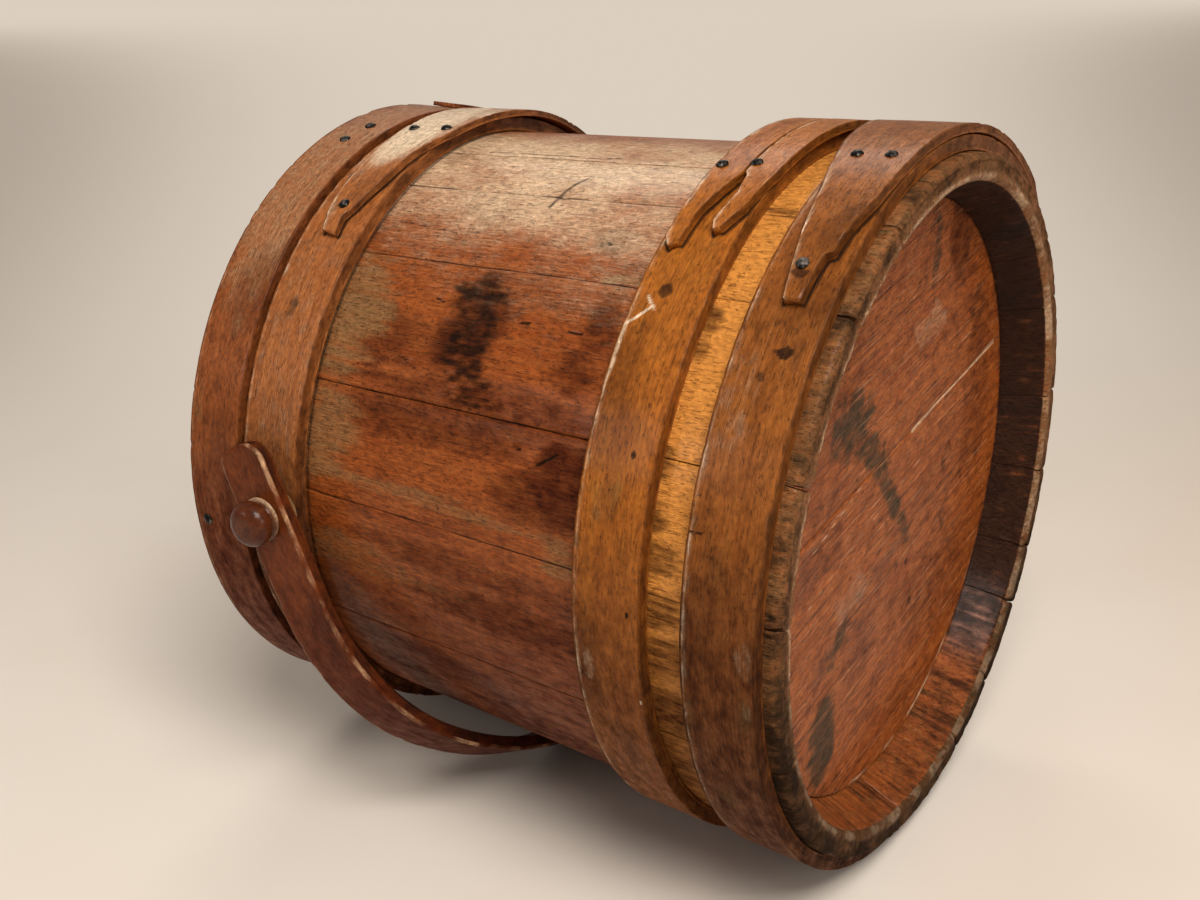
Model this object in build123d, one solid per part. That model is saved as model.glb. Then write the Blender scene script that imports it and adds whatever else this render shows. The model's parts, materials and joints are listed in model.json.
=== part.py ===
from build123d import *
import os
from math import acos, atan, atan2, cos, degrees, hypot, radians, sin

# A wooden firkin (sugar bucket): tapered staves round a recessed bottom, three lapped
# bentwood hoops, a lid with a bentwood rim, and a bentwood bail on two turned pegs.
# It lies on its side, propped level by the bail, which has swung under it.
#
# Barrel frame: the axis is X and the bottom end is the plane x = 0. A place on the
# barrel is given by s, its distance from the bottom end, by its radius, and by its
# angle round the axis, in degrees from the top (+Z) towards the near side (-Y).
# Lengths are millimetres.

# Staves
BOTTOM_RADIUS = 150.0        # outside of the staves at the bottom end, a 12 inch firkin
TOP_RADIUS = 134.7           # outside of the staves at the lid end
STAVE_LENGTH = 276.0
STAVE_THICKNESS = 18.0
STAVE_JOINT = 0.25           # open joint between neighbouring staves
FIRST_JOINT_ANGLE = 12.0
STAVE_ANGLES = [12.5, 17.0, 24.5, 20.0, 25.0, 21.0, 20.5, 19.5, 26.0, 16.0,
                16.5, 11.5, 16.0, 15.5, 20.5, 14.5, 21.5, 22.5]      # the last stave is the rest
EDGE_EASE = 1.6              # easing of the outer arris of the bottom end
CHIME_LIP = 10.8             # thickness of the staves at the bottom end
# Bottom board, held in the croze groove
BOTTOM_RECESS = 21.8         # from the bottom end to the face of the board
BOARD_THICKNESS = 12.0
TONGUE_THICKNESS = 6.0
CROZE_DEPTH = 5.0
BOTTOM_JOINT_ANGLE = 7.5     # direction square to the joint between the two boards
BOTTOM_JOINT_OFFSET = 24.0   # from the centre of the board to that joint
BOARD_JOINT = 0.2
DOWEL_RADIUS = 3.0
DOWEL_LENGTH = 36.0
DOWEL_SPREAD = 120.0
# Hoops: the edge of each nearer the bottom end, and its width
HOOP_THICKNESS = 6.5
HOOP_EASE = 0.8
BOTTOM_HOOP_PLACE = 6.3
BOTTOM_HOOP_WIDTH = 31.7
MIDDLE_HOOP_PLACE = 55.4
MIDDLE_HOOP_WIDTH = 30.8
TOP_HOOP_SET = 12.6          # from the lid end of the staves to the top hoop
TOP_HOOP_WIDTH = 32.4
BOTTOM_PLY_THICKNESS = 4.6   # outer turn, where the hoop overlaps itself
MIDDLE_PLY_THICKNESS = 4.2
TOP_PLY_THICKNESS = 3.6
LAP_START_ANGLE = -56.0      # where the outer turn begins to climb over the inner one
LAP_LEAD_ANGLE = 2.0         # how much earlier its outline begins
LAP_VIEW_ANGLE = 15.0        # direction in which the outlines of the tails are cut
# Outlines of the outer turns, as (angle, rise above the lower edge of the hoop)
BOTTOM_TAIL = [(-28, 39.2), (-10, 42.2), (9, 34.7), (21, 27.7), (32, 23.2), (42.6, 18.0), (43.3, 14.2),
               (42.4, 10.7), (37.7, 10.0), (35.2, 9.1), (34.6, 6.3), (30, 5.1), (24, 1.5), (16, 0.3)]
MIDDLE_TAIL = [(9, 28.4), (34.8, 27.6), (36.2, 25.1), (35.2, 20.4), (29, 19.6), (24, 16.1), (20, 13.2),
               (21, 11.0), (25, 9.6), (31, 11.9), (32.7, 9.8), (32.2, 6.6), (28, 2.1), (19.5, -1.2),
               (0, -2.2)]
TOP_TAIL = [(13, 25.5), (33, 23.5), (37, 22.0), (40.6, 19.0), (41.4, 15.0), (41, 10.6), (37.5, 12.0),
            (35.5, 9.4), (28, 4.2), (20.5, 2.0), (11, -4.5), (-10, -6.5)]
RIM_TAIL = [(-20, 28.0), (-12, 22.0), (-11, 7.0), (-18, 0.0)]
# Nails, as (angle, rise above the lower edge of the hoop)
BOTTOM_NAILS = [(37.1, 15.7), (13.6, 23.1), (13.3, 9.3), (-24, 17.7), (-33, 9.7)]
MIDDLE_NAILS = [(18.6, 24.8), (17.6, 10.9), (-20, 20.6), (-28, 8.6)]
TOP_NAILS = [(34.9, 15.2), (11.6, 19.0), (10.8, 1.8), (-24, 21.0), (-32, 9.0)]
RIM_NAILS = [(11.5, 12.1), (17.5, 14.9), (95.8, 21.5), (150, 21.5), (206, 21.5), (252, 21.5), (-29, 16.0)]
NAIL_HEAD_RADIUS = 2.7
NAIL_HEAD_HEIGHT = 1.5
NAIL_CROWN = 0.6             # top of a nail head against its base
NAIL_SHANK_RADIUS = 1.1
NAIL_BITE = 7.0              # how far a nail goes into the wood under the band
NAIL_HOLE_REACH = 30.0       # length of a drilled hole outside the wood
# Lid
RIM_GAP = 1.0                # from the top hoop to the rim of the lid
RIM_LIP = 4.6                # height of the rim above the lid boards
RIM_STEP = 2.75              # how far the rim stands proud of the top hoop
RIM_THICKNESS = 7.6
RIM_PLY_THICKNESS = 2.2
LID_JOINT_ANGLE = 24.0
LID_JOINT_OFFSET = -14.0
# Bail and its pegs
PEG_RISE = 10.0              # from the lower edge of the top hoop to the peg axis
BAIL_WIDTH = 26.0
BAIL_THICKNESS = 6.5
BAIL_EASE = 1.2
BAIL_TAIL = 32.5             # from the peg axis to the free end of each arm
BAIL_TAIL_ROUND = 9.0
BAIL_RIM_CLEARANCE = 2.7     # between the rim of the lid and each arm
BAIL_BOW_CLEARANCE = 16.6     # more reach from the peg axis to the bow than to the rim's radius
BAIL_ARM = 40.0              # straight part of each arm below the peg axis
BAIL_CORNER = 112.0           # outer radius between each arm and the crown
WALL_REST = 0.3              # gap between the bow and the staves it rests against
PEG_RADIUS = 5.5
PEG_FLANGE_RADIUS = 9.8
PEG_FLANGE = 1.6
KNOB_RADIUS = 10.2
KNOB_LENGTH = 12.6
KNOB_NECK = (0.72, 0.05)     # places on the knob: shares of its radius and of its length
KNOB_BELLY = (1.0, 0.45)
KNOB_SHOULDER = (0.66, 0.86)
KNOB_END = (0.3, 0.975)
KNOB_FACE = (0.22, 1.0)
SPACER_RADIUS = 10.5
# Fits
SEAT = 0.15                  # between curved faces of fixed neighbours
SLIP = 0.3                   # between faces that come apart, and end faces of the pegs
PIN_FIT = 0.05               # radial, round fixed pegs, dowels and nails
SWING_FIT = 0.1              # radial, between a peg and the bail

TAPER = (BOTTOM_RADIUS - TOP_RADIUS) / STAVE_LENGTH
TOP_HOOP_PLACE = STAVE_LENGTH - TOP_HOOP_SET - TOP_HOOP_WIDTH
PEG_PLACE = TOP_HOOP_PLACE + PEG_RISE
LID_BOARD_FACE = STAVE_LENGTH + SLIP
RIM_PLACE = STAVE_LENGTH - TOP_HOOP_SET + RIM_GAP
RIM_WIDTH = LID_BOARD_FACE + BOARD_THICKNESS + RIM_LIP - RIM_PLACE
RIM_RADIUS = BOTTOM_RADIUS - TAPER * (STAVE_LENGTH - TOP_HOOP_SET) + SEAT + HOOP_THICKNESS + RIM_STEP
RIM_INNER_RADIUS = RIM_RADIUS - RIM_THICKNESS
BAIL_INNER = RIM_RADIUS + BAIL_RIM_CLEARANCE
BAIL_OUTER = BAIL_INNER + BAIL_THICKNESS
BAIL_DROP = RIM_RADIUS + BAIL_THICKNESS + BAIL_BOW_CLEARANCE     # from the peg axis to the outside of the bow
REACH = 2 * BOTTOM_RADIUS    # longer than any cut needs
STANDING = (Align.CENTER, Align.CENTER, Align.MIN)
HANGING = (Align.CENTER, Align.CENTER, Align.MAX)


def wall_radius(s):
    """Outside radius of the staves."""
    return BOTTOM_RADIUS - TAPER * s


def hoop_radius(s):
    """Outside radius of a single turn of a hoop."""
    return wall_radius(s) + SEAT + HOOP_THICKNESS


def rim_radius(s):
    """Outside radius of the rim of the lid, which isn't tapered."""
    return RIM_RADIUS


def revolved(profile, start=0.0, arc=360.0):
    """Solid swept round the barrel axis by a profile of (s, radius) points."""
    outline = Polyline([(-s, 0, radius) for s, radius in profile], close=True)
    return Rot(start, 0, 0) * revolve(make_face(outline), Axis.X, revolution_arc=arc)


def half_space(angle, offset):
    """Box filling the side beyond a plane parallel to the axis, square to a direction."""
    block = Pos(0, 0, offset + REACH) * Box(4 * REACH, 4 * REACH, 2 * REACH)
    return Rot(angle, 0, 0) * block


def radial(angle, s, radius, shape):
    """Place a shape whose Z axis points outward at a place on the barrel."""
    return Rot(angle, 0, 0) * Pos(-s, 0, radius) * shape


def band(edges, inner, outer):
    """Closed ring between two edges, with eased outer arrises."""
    low, high = edges
    profile = [(low, inner(low)), (low, outer(low) - HOOP_EASE), (low + HOOP_EASE, outer(low + HOOP_EASE)),
               (high - HOOP_EASE, outer(high - HOOP_EASE)), (high, outer(high) - HOOP_EASE),
               (high, inner(high))]
    return revolved(profile)


def raised(points, place):
    """Points given as (angle, rise) above an edge, as (angle, s)."""
    return [(angle, place + rise) for angle, rise in points]


def lap(edges, tail, outer, ply, taper):
    """Outer turn of a band: it climbs on along a tangent scarf and ends in the cut tail."""
    start = LAP_START_ANGLE - LAP_LEAD_ANGLE
    outline = [(start, edges[1])] + tail + [(start, edges[0])]
    places = [s for angle, s in outline]
    low, high = min(places) - 1, max(places) + 1
    middle = (low + high) / 2
    profile = [(low, outer(low) - SEAT), (low, outer(low) + ply), (high, outer(high) + ply),
               (high, outer(high) - SEAT)]
    turn = revolved(profile, LAP_START_ANGLE, tail_end(tail) + LAP_LEAD_ANGLE - LAP_START_ANGLE)
    reach = outer(middle) + ply / 2
    corners = [(-s, -reach * sin(radians(angle - LAP_VIEW_ANGLE))) for angle, s in outline]
    blank = Rot(LAP_VIEW_ANGLE, 0, 0) * extrude(make_face(Polyline(corners, close=True)), REACH)
    scarf = Pos(-middle, 0, outer(middle)) * Rot(0, -degrees(atan(taper)), 0) * Pos(0, 0, -REACH)
    scarf = Rot(LAP_START_ANGLE, 0, 0) * scarf * Box(4 * REACH, 4 * REACH, 2 * REACH)
    return turn & scarf & blank


def tail_end(tail):
    """Largest angle that a tail reaches."""
    return max(angle for angle, s in tail)


def nails(places, tail, outer, ply, thickness):
    """Wrought nails: a faceted head on the band and a shank into the wood below."""
    group = []
    for angle, s in places:
        covered = ply if LAP_START_ANGLE < angle < tail_end(tail) else 0
        head = Cone(NAIL_HEAD_RADIUS, NAIL_HEAD_RADIUS * NAIL_CROWN, NAIL_HEAD_HEIGHT, align=STANDING)
        shank = Cylinder(NAIL_SHANK_RADIUS, thickness + covered + NAIL_BITE, align=HANGING)
        seat = outer(s) + covered + PIN_FIT + TAPER * NAIL_HEAD_RADIUS
        group.append(radial(angle, s, seat, head + shank))
    return group


def nail_holes(places, radius_of, depth):
    """Holes for the shanks, from well outside the band down to a depth under it."""
    tool = Cylinder(NAIL_SHANK_RADIUS + PIN_FIT, NAIL_HOLE_REACH + depth, align=STANDING)
    return [radial(angle, s, radius_of(s) - depth, tool) for angle, s in places]


def drilled(shape, holes):
    """A shape with every hole of a list taken out."""
    for hole in holes:
        shape = shape - hole
    return shape


def single(shape):
    """The one solid of a shape."""
    return shape.solids()[0] if len(shape.solids()) == 1 else shape


def peg_hole(radius):
    """Bore along the peg axis, right through the barrel."""
    return Pos(-PEG_PLACE, 0, 0) * Rot(90, 0, 0) * Cylinder(radius, 2 * REACH)


HOOPS = {
    "hoop_bottom": (BOTTOM_HOOP_PLACE, BOTTOM_HOOP_WIDTH, BOTTOM_TAIL, BOTTOM_PLY_THICKNESS, BOTTOM_NAILS),
    "hoop_middle": (MIDDLE_HOOP_PLACE, MIDDLE_HOOP_WIDTH, MIDDLE_TAIL, MIDDLE_PLY_THICKNESS, MIDDLE_NAILS),
    "hoop_top": (TOP_HOOP_PLACE, TOP_HOOP_WIDTH, TOP_TAIL, TOP_PLY_THICKNESS, TOP_NAILS),
}


def make_staves():
    """Staves of uneven width, each with its chime bevel and its length of croze groove."""
    groove = (BOTTOM_RECESS + (BOARD_THICKNESS - TONGUE_THICKNESS) / 2 - SEAT,
              BOTTOM_RECESS + (BOARD_THICKNESS + TONGUE_THICKNESS) / 2 + SEAT)
    inner = wall_radius(groove[1]) - STAVE_THICKNESS
    profile = [(0, BOTTOM_RADIUS - EDGE_EASE), (2 * EDGE_EASE, wall_radius(2 * EDGE_EASE)),
               (STAVE_LENGTH, TOP_RADIUS), (STAVE_LENGTH, TOP_RADIUS - STAVE_THICKNESS),
               (groove[1], inner), (groove[1], inner + CROZE_DEPTH), (groove[0], inner + CROZE_DEPTH),
               (groove[0], inner), (BOTTOM_RECESS, inner), (0, BOTTOM_RADIUS - CHIME_LIP)]
    holes = [peg_hole(PEG_RADIUS + PIN_FIT)]
    for place, width, tail, ply, places in HOOPS.values():
        holes += nail_holes(raised(places, place), wall_radius, NAIL_BITE + SLIP)
    staves = {}
    widths = STAVE_ANGLES + [360 - sum(STAVE_ANGLES)]
    start = FIRST_JOINT_ANGLE
    gap = degrees(STAVE_JOINT / BOTTOM_RADIUS)
    for number, width in enumerate(widths, 1):
        stave = revolved(profile, start + gap / 2, width - gap)
        staves[f"stave_{number:02d}"] = single(drilled(stave, holes))
        start += width
    return staves, inner


def split_board(name, disc, angle, offset, face):
    """Two boards side by side, with the dowels that join them."""
    middle = face + BOARD_THICKNESS / 2
    dowel = Cylinder(DOWEL_RADIUS, DOWEL_LENGTH)
    hole = Cylinder(DOWEL_RADIUS + PIN_FIT, DOWEL_LENGTH + SLIP)
    places = [Rot(angle, 0, 0) * Pos(-middle, side * DOWEL_SPREAD / 2, offset) for side in (-1, 1)]
    disc = drilled(disc, [place * hole for place in places])
    upper = disc & half_space(angle, offset + BOARD_JOINT / 2)
    lower = disc - half_space(angle, offset - BOARD_JOINT / 2)
    return {f"{name}_board_1": single(upper), f"{name}_board_2": single(lower),
            f"{name}_dowels": Compound([single(place * dowel) for place in places])}


def make_bottom(inner):
    """Bottom boards: a disc with a tongue round its edge that sits in the croze."""
    face = BOTTOM_RECESS
    back = face + BOARD_THICKNESS
    shoulder = (BOARD_THICKNESS - TONGUE_THICKNESS) / 2
    tongue = (face + shoulder, back - shoulder)
    edge = inner - SLIP
    rim = inner + CROZE_DEPTH - SLIP
    profile = [(face, 0), (face, edge), (tongue[0], edge), (tongue[0], rim), (tongue[1], rim),
               (tongue[1], edge), (back, edge), (back, 0)]
    return split_board("bottom", revolved(profile), BOTTOM_JOINT_ANGLE, BOTTOM_JOINT_OFFSET, face)


def make_hoops():
    """The three body hoops, each with its lapped tail, and their nails."""
    nodes = {}
    for name, (place, width, tail, ply, places) in HOOPS.items():
        edges = (place, place + width)
        tail = raised(tail, place)
        places = raised(places, place)
        ring = band(edges, lambda s: wall_radius(s) + SEAT, hoop_radius)
        hoop = ring + lap(edges, tail, hoop_radius, ply, TAPER)
        hoop = drilled(hoop, nail_holes(places, wall_radius, SLIP))
        if edges[0] < PEG_PLACE < edges[1]:
            hoop = hoop - peg_hole(PEG_RADIUS + PIN_FIT)
        group = nails(places, tail, hoop_radius, ply, HOOP_THICKNESS)
        nodes[name] = single(hoop)
        nodes[f"{name}_nails"] = Compound([single(nail) for nail in group])
    return nodes


def make_lid():
    """Lid boards, and the rim nailed round their edge."""
    back = LID_BOARD_FACE + BOARD_THICKNESS
    edge = RIM_INNER_RADIUS - SEAT
    disc = revolved([(LID_BOARD_FACE, 0), (LID_BOARD_FACE, edge), (back, edge), (back, 0)])
    places = raised(RIM_NAILS, RIM_PLACE)
    long = [place for place in places if place[1] > LID_BOARD_FACE + NAIL_SHANK_RADIUS]
    short = [place for place in places if place not in long]
    disc = drilled(disc, nail_holes(long, lambda s: RIM_INNER_RADIUS, NAIL_BITE + SLIP))
    nodes = split_board("lid", disc, LID_JOINT_ANGLE, LID_JOINT_OFFSET, LID_BOARD_FACE)
    edges = (RIM_PLACE, RIM_PLACE + RIM_WIDTH)
    tail = raised(RIM_TAIL, RIM_PLACE)
    ring = band(edges, lambda s: RIM_INNER_RADIUS, rim_radius)
    ring = ring + lap(edges, tail, rim_radius, RIM_PLY_THICKNESS, 0)
    nodes["lid_rim"] = single(drilled(ring, nail_holes(places, lambda s: RIM_INNER_RADIUS, SLIP)))
    group = nails(long, tail, rim_radius, RIM_PLY_THICKNESS, RIM_THICKNESS)
    group += nails(short, tail, rim_radius, RIM_PLY_THICKNESS, RIM_THICKNESS - NAIL_BITE)
    nodes["lid_rim_nails"] = Compound([single(nail) for nail in group])
    return nodes


def arch(half_width, corner, crown, top):
    """Face bounded by two arms and a three-centred bow hanging from the peg axis."""
    side = BAIL_OUTER - BAIL_CORNER
    centre = crown_radius() - BAIL_DROP
    turn = atan2(side, centre + BAIL_ARM)
    joint = (crown * sin(turn), centre - crown * cos(turn))
    knee = (side + corner * cos((radians(90) - turn) / 2), -BAIL_ARM - corner * sin((radians(90) - turn) / 2))
    right = Line((half_width, top), (half_width, -BAIL_ARM))
    right += ThreePointArc((half_width, -BAIL_ARM), knee, joint)
    bow = ThreePointArc(joint, (0, centre - crown), (-joint[0], joint[1]))
    left = ThreePointArc((-joint[0], joint[1]), (-knee[0], knee[1]), (-half_width, -BAIL_ARM))
    left += Line((-half_width, -BAIL_ARM), (-half_width, top))
    closing = Line((-half_width, top), (half_width, top))
    return make_face(right.edges() + bow.edges() + left.edges() + closing.edges())


def crown_radius():
    """Outer radius of the crown, which is tangent to both corners."""
    side = BAIL_OUTER - BAIL_CORNER
    depth = BAIL_DROP - BAIL_ARM
    return (side ** 2 + depth ** 2 - BAIL_CORNER ** 2) / (2 * (depth - BAIL_CORNER))


def make_bail():
    """Bentwood bail, made hanging straight down and then swung against the staves."""
    crown = crown_radius()
    outer = arch(BAIL_OUTER, BAIL_CORNER, crown, BAIL_TAIL)
    inner = arch(BAIL_INNER, BAIL_CORNER - BAIL_THICKNESS, crown - BAIL_THICKNESS, BAIL_TAIL + 1)
    strip = extrude(outer - inner, BAIL_WIDTH / 2, both=True)
    strip = Plane.YZ * strip
    ends = [edge for edge in strip.edges().filter_by(Axis.Y) if edge.center().Z > BAIL_TAIL - 1]
    strip = fillet(ends, BAIL_TAIL_ROUND)
    faces = strip.faces().filter_by(Axis.X)
    arrises = [edge for edge in faces.edges() if edge.center().Z < 0]
    strip = chamfer(arrises, BAIL_EASE)
    strip = strip - Rot(90, 0, 0) * Cylinder(PEG_RADIUS + SWING_FIT, 2 * REACH)
    return Pos(-PEG_PLACE, 0, 0) * Rot(0, -bail_lean(), 0) * single(strip)


def bail_lean():
    """Angle from straight down at which the inner edge of the bow meets the staves."""
    reach = BAIL_DROP - BAIL_THICKNESS
    along = reach - TAPER * BAIL_WIDTH / 2
    across = BAIL_WIDTH / 2 + TAPER * reach
    wall = wall_radius(PEG_PLACE) + WALL_REST
    return degrees(acos(wall / hypot(along, across)) - atan2(across, along))


def make_pegs():
    """Turned pegs with knob heads, and the spacers between the top hoop and the bail."""
    root = wall_radius(PEG_PLACE) - STAVE_THICKNESS
    seat = BAIL_OUTER + SLIP
    flange = seat + PEG_FLANGE
    places = [KNOB_NECK, KNOB_BELLY, KNOB_SHOULDER, KNOB_END, KNOB_FACE]
    neck, belly, shoulder, end, face = [(KNOB_RADIUS * width, flange + (KNOB_LENGTH - PEG_FLANGE) * along)
                                        for width, along in places]
    shaft = [(0, root), (PEG_RADIUS, root), (PEG_RADIUS, seat), (PEG_FLANGE_RADIUS, seat),
             (PEG_FLANGE_RADIUS, flange), neck]
    outline = Polyline(shaft) + Spline(neck, belly, shoulder, end)
    outline += Polyline(end, face, (0, face[1]), (0, root))
    turned = revolve(Plane.XZ * make_face(outline.edges()), Axis.Z)
    base = hoop_radius(PEG_PLACE - SPACER_RADIUS) + SEAT
    length = BAIL_INNER - SLIP - base
    ring = Cylinder(SPACER_RADIUS, length, align=STANDING)
    ring = Pos(0, 0, base) * (ring - Cylinder(PEG_RADIUS + PIN_FIT, 3 * length))
    nodes = {}
    for side, angle in (("near", 90), ("far", -90)):
        place = Rot(angle, 0, 0)
        nodes[f"peg_{side}"] = Pos(-PEG_PLACE, 0, 0) * place * single(turned)
        nodes[f"spacer_{side}"] = Pos(-PEG_PLACE, 0, 0) * place * single(ring)
    return nodes


def lowest_of_bow(lean):
    """Lowest corner of the bow, as (s, depth below the barrel axis)."""
    corners = [(BAIL_DROP - BAIL_EASE, BAIL_WIDTH / 2), (BAIL_DROP, BAIL_WIDTH / 2 - BAIL_EASE)]
    turn = radians(lean)
    found = [(PEG_PLACE - drop * sin(turn) + half * cos(turn), drop * cos(turn) + half * sin(turn))
             for drop, half in corners]
    return max(found, key=lambda corner: corner[1])


def floor_tilt():
    """Tilt of the barrel axis, and depth of the floor under the bottom end of the axis."""
    edge = BOTTOM_HOOP_PLACE + HOOP_EASE
    foot = (edge, hoop_radius(edge))
    bow = lowest_of_bow(bail_lean())
    tilt = atan2(bow[1] - foot[1], bow[0] - foot[0])
    depth = foot[1] * cos(tilt) - foot[0] * sin(tilt)
    return degrees(tilt), depth


def main():
    """Build every node in the barrel frame, stand the firkin on the floor and write it."""
    nodes, inner = make_staves()
    nodes.update(make_bottom(inner))
    nodes.update(make_hoops())
    nodes.update(make_lid())
    nodes.update(make_pegs())
    nodes["bail"] = make_bail()
    tilt, depth = floor_tilt()
    stand = Pos(0, 0, depth) * Rot(0, tilt, 0)
    nodes = {name: stand * shape for name, shape in nodes.items()}
    box = Compound([solid for shape in nodes.values() for solid in shape.solids()]).bounding_box()
    centre = Pos(-(box.min.X + box.max.X) / 2, -(box.min.Y + box.max.Y) / 2, 0)
    os.makedirs("parts", exist_ok=True)
    for name, shape in nodes.items():
        placed = centre * shape
        placed.label = name
        export_step(placed, f"parts/{name}.step")
    frame = centre * stand
    hinge = frame * Pos(-PEG_PLACE, 0, 0)
    print("tilt", round(tilt, 4), "lean", round(bail_lean(), 4), "floor depth", round(depth, 3))
    print("peg axis", hinge.position, "bottom end centre", frame.position)
    print("box", box.min, box.max)


main()
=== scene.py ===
"""Fine pieces, finishes, floor and light for a staved firkin that lies on its side.

The firkin rests on its bottom hoop and on its bail, which has swung under it. Every place on the
barrel is given by s, the distance from the bottom end in millimetres, by the angle round the axis
in degrees from the top towards the near side, and by the radius in millimetres.
"""
import json
import logging
import math
from dataclasses import dataclass, field
from enum import Enum
from itertools import product
from typing import Callable

import bpy
import numpy as np
from mathutils import Matrix, Vector


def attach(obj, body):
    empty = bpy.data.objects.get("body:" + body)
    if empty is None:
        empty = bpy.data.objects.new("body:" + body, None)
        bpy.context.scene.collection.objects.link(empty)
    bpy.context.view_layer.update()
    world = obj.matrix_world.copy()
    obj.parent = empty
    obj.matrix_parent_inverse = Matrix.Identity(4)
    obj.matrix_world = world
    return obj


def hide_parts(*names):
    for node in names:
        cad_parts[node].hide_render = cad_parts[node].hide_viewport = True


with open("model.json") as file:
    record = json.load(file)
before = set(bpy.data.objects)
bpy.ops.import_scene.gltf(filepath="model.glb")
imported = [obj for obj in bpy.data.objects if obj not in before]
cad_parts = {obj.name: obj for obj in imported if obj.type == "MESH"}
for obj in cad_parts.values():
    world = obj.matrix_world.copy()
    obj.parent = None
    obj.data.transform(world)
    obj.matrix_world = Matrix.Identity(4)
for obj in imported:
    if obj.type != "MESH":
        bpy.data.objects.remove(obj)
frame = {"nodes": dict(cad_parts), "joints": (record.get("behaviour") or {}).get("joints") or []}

Array = np.ndarray
Material = bpy.types.Material
Socket = bpy.types.NodeSocket

LOG = logging.getLogger("firkin")
MM = 0.001
BOTTOM_RADIUS = 150.0                           # outside of the staves at the bottom end
TOP_RADIUS = 134.7                              # outside of the staves at the lid end
LENGTH = 276.0                                  # length of the staves
RECESS = 21.8                                   # how far the head lies inside the chime
TAPER = (BOTTOM_RADIUS - TOP_RADIUS) / LENGTH   # how much of the radius is lost in a millimetre
ARC = math.radians(1.0) * BOTTOM_RADIUS         # millimetres round the barrel to one degree
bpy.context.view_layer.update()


# ---------------------------------------------------------------- arithmetic on arrays

def ease(low: float, high: float, value: Array) -> Array:
    """Smooth step: t * t * (3 - 2 t), where t runs from 0 at low to 1 at high."""
    t = np.clip((value - low) / (high - low), 0.0, 1.0)
    return t * t * (3.0 - 2.0 * t)


def lattice(cells: Array, seed: int) -> Array:
    """Hash whole lattice places to values from -1 to 1.

    Args:
        cells: whole numbers, three to a place.
        seed: picks one of many lattices.

    Returns:
        One value for each place.
    """
    mixed = (cells[..., 0] * 73856093) ^ (cells[..., 1] * 19349663) ^ (cells[..., 2] * 83492791)
    mixed = (mixed ^ (seed * 40503)) & 0xFFFFFFFF
    mixed = ((mixed ^ (mixed >> 15)) * 2246822519) & 0xFFFFFFFF
    mixed = ((mixed ^ (mixed >> 13)) * 3266489917) & 0xFFFFFFFF
    mixed = mixed ^ (mixed >> 16)
    return mixed / 0x7FFFFFFF - 1.0


def clouds(seed: int, *axes: Array, octaves: int = 1) -> Array:
    """Value noise: lattice values blended by smooth steps, each octave half as large and as strong.

    Args:
        seed: picks the pattern.
        axes: one to three coordinates, in units of the pattern's size.
        octaves: how many layers are added.

    Returns:
        Values from about -1 to 1.
    """
    axes = np.broadcast_arrays(*axes)
    points = np.stack(list(axes) + [np.zeros(axes[0].shape)] * (3 - len(axes)), axis=-1)
    total = np.zeros(axes[0].shape)
    for octave in range(octaves):
        scaled = points * 2.0 ** octave
        cells = np.floor(scaled).astype(np.int64)
        part = scaled - cells
        part = part * part * (3.0 - 2.0 * part)
        for corner in product((0, 1), repeat=3):
            weight = np.prod(np.where(corner, part, 1.0 - part), axis=-1)
            total += 0.5 ** octave * weight * lattice(cells + np.array(corner), seed + octave)
    return total / (2.0 - 0.5 ** (octaves - 1))


def along(points: list[tuple[float, float]], share: Array, stretch: float) -> Array:
    """Places at shares of the length of a line of straight pieces.

    Args:
        points: corners of the line, as (angle, rise).
        share: shares of its length, from 0 to 1.
        stretch: how much longer one unit of angle counts than one of rise.

    Returns:
        Array with an (angle, rise) row for each share.
    """
    corners = np.array(points, float)
    steps = np.hypot(np.diff(corners[:, 0]) * stretch, np.diff(corners[:, 1]))
    walked = np.concatenate([[0.0], np.cumsum(steps)]) / steps.sum()
    return np.stack([np.interp(share, walked, column) for column in corners.T], axis=-1)


def spread(low: float, high: float, step: float) -> Array:
    """Evenly spaced values from low to high, about a step apart, with both ends."""
    return np.linspace(low, high, max(2, int(round(abs(high - low) / step)) + 1))


# ---------------------------------------------------------------- the barrel's place, and its marks

class Lay:
    """Where the barrel lies in the row frame, worked out from the part's joints."""

    def __init__(self, joints: list[dict], peg_place: float) -> None:
        """Find the axis of the barrel and the middle of its bottom end.

        Args:
            joints: the joints of the frame.
            peg_place: s of the peg axis.
        """
        named = {joint["name"]: joint for joint in joints}
        self.lidward = np.array(named["lid_lift"]["axis"], float)
        self.lidward /= np.linalg.norm(self.lidward)
        self.near = -np.array(named["handle_swing"]["axis"], float)
        self.up = np.cross(self.lidward, self.near)
        self.peg = np.array(named["handle_swing"]["pos_m"], float)
        self.foot = self.peg - self.lidward * peg_place * MM

    def combine(self, origin: Array, parts: list[tuple[Array, Array]]) -> Array:
        """Add millimetres along directions to a point: origin + the sum of amount * direction."""
        amounts = np.broadcast_arrays(*[amount for amount, direction in parts])
        total = np.array(origin, float) + np.zeros(amounts[0].shape + (3,))
        for amount, (_, direction) in zip(amounts, parts):
            total = total + amount[..., None] * direction * MM
        return total

    def place(self, s: Array, angle: Array, radius: Array) -> Array:
        """Row-frame points of places on the barrel: foot + s lidward + r (cos a up + sin a near)."""
        turn = np.radians(angle)
        return self.combine(self.foot, [(s, self.lidward), (radius * np.cos(turn), self.up),
                                        (radius * np.sin(turn), self.near)])


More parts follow.
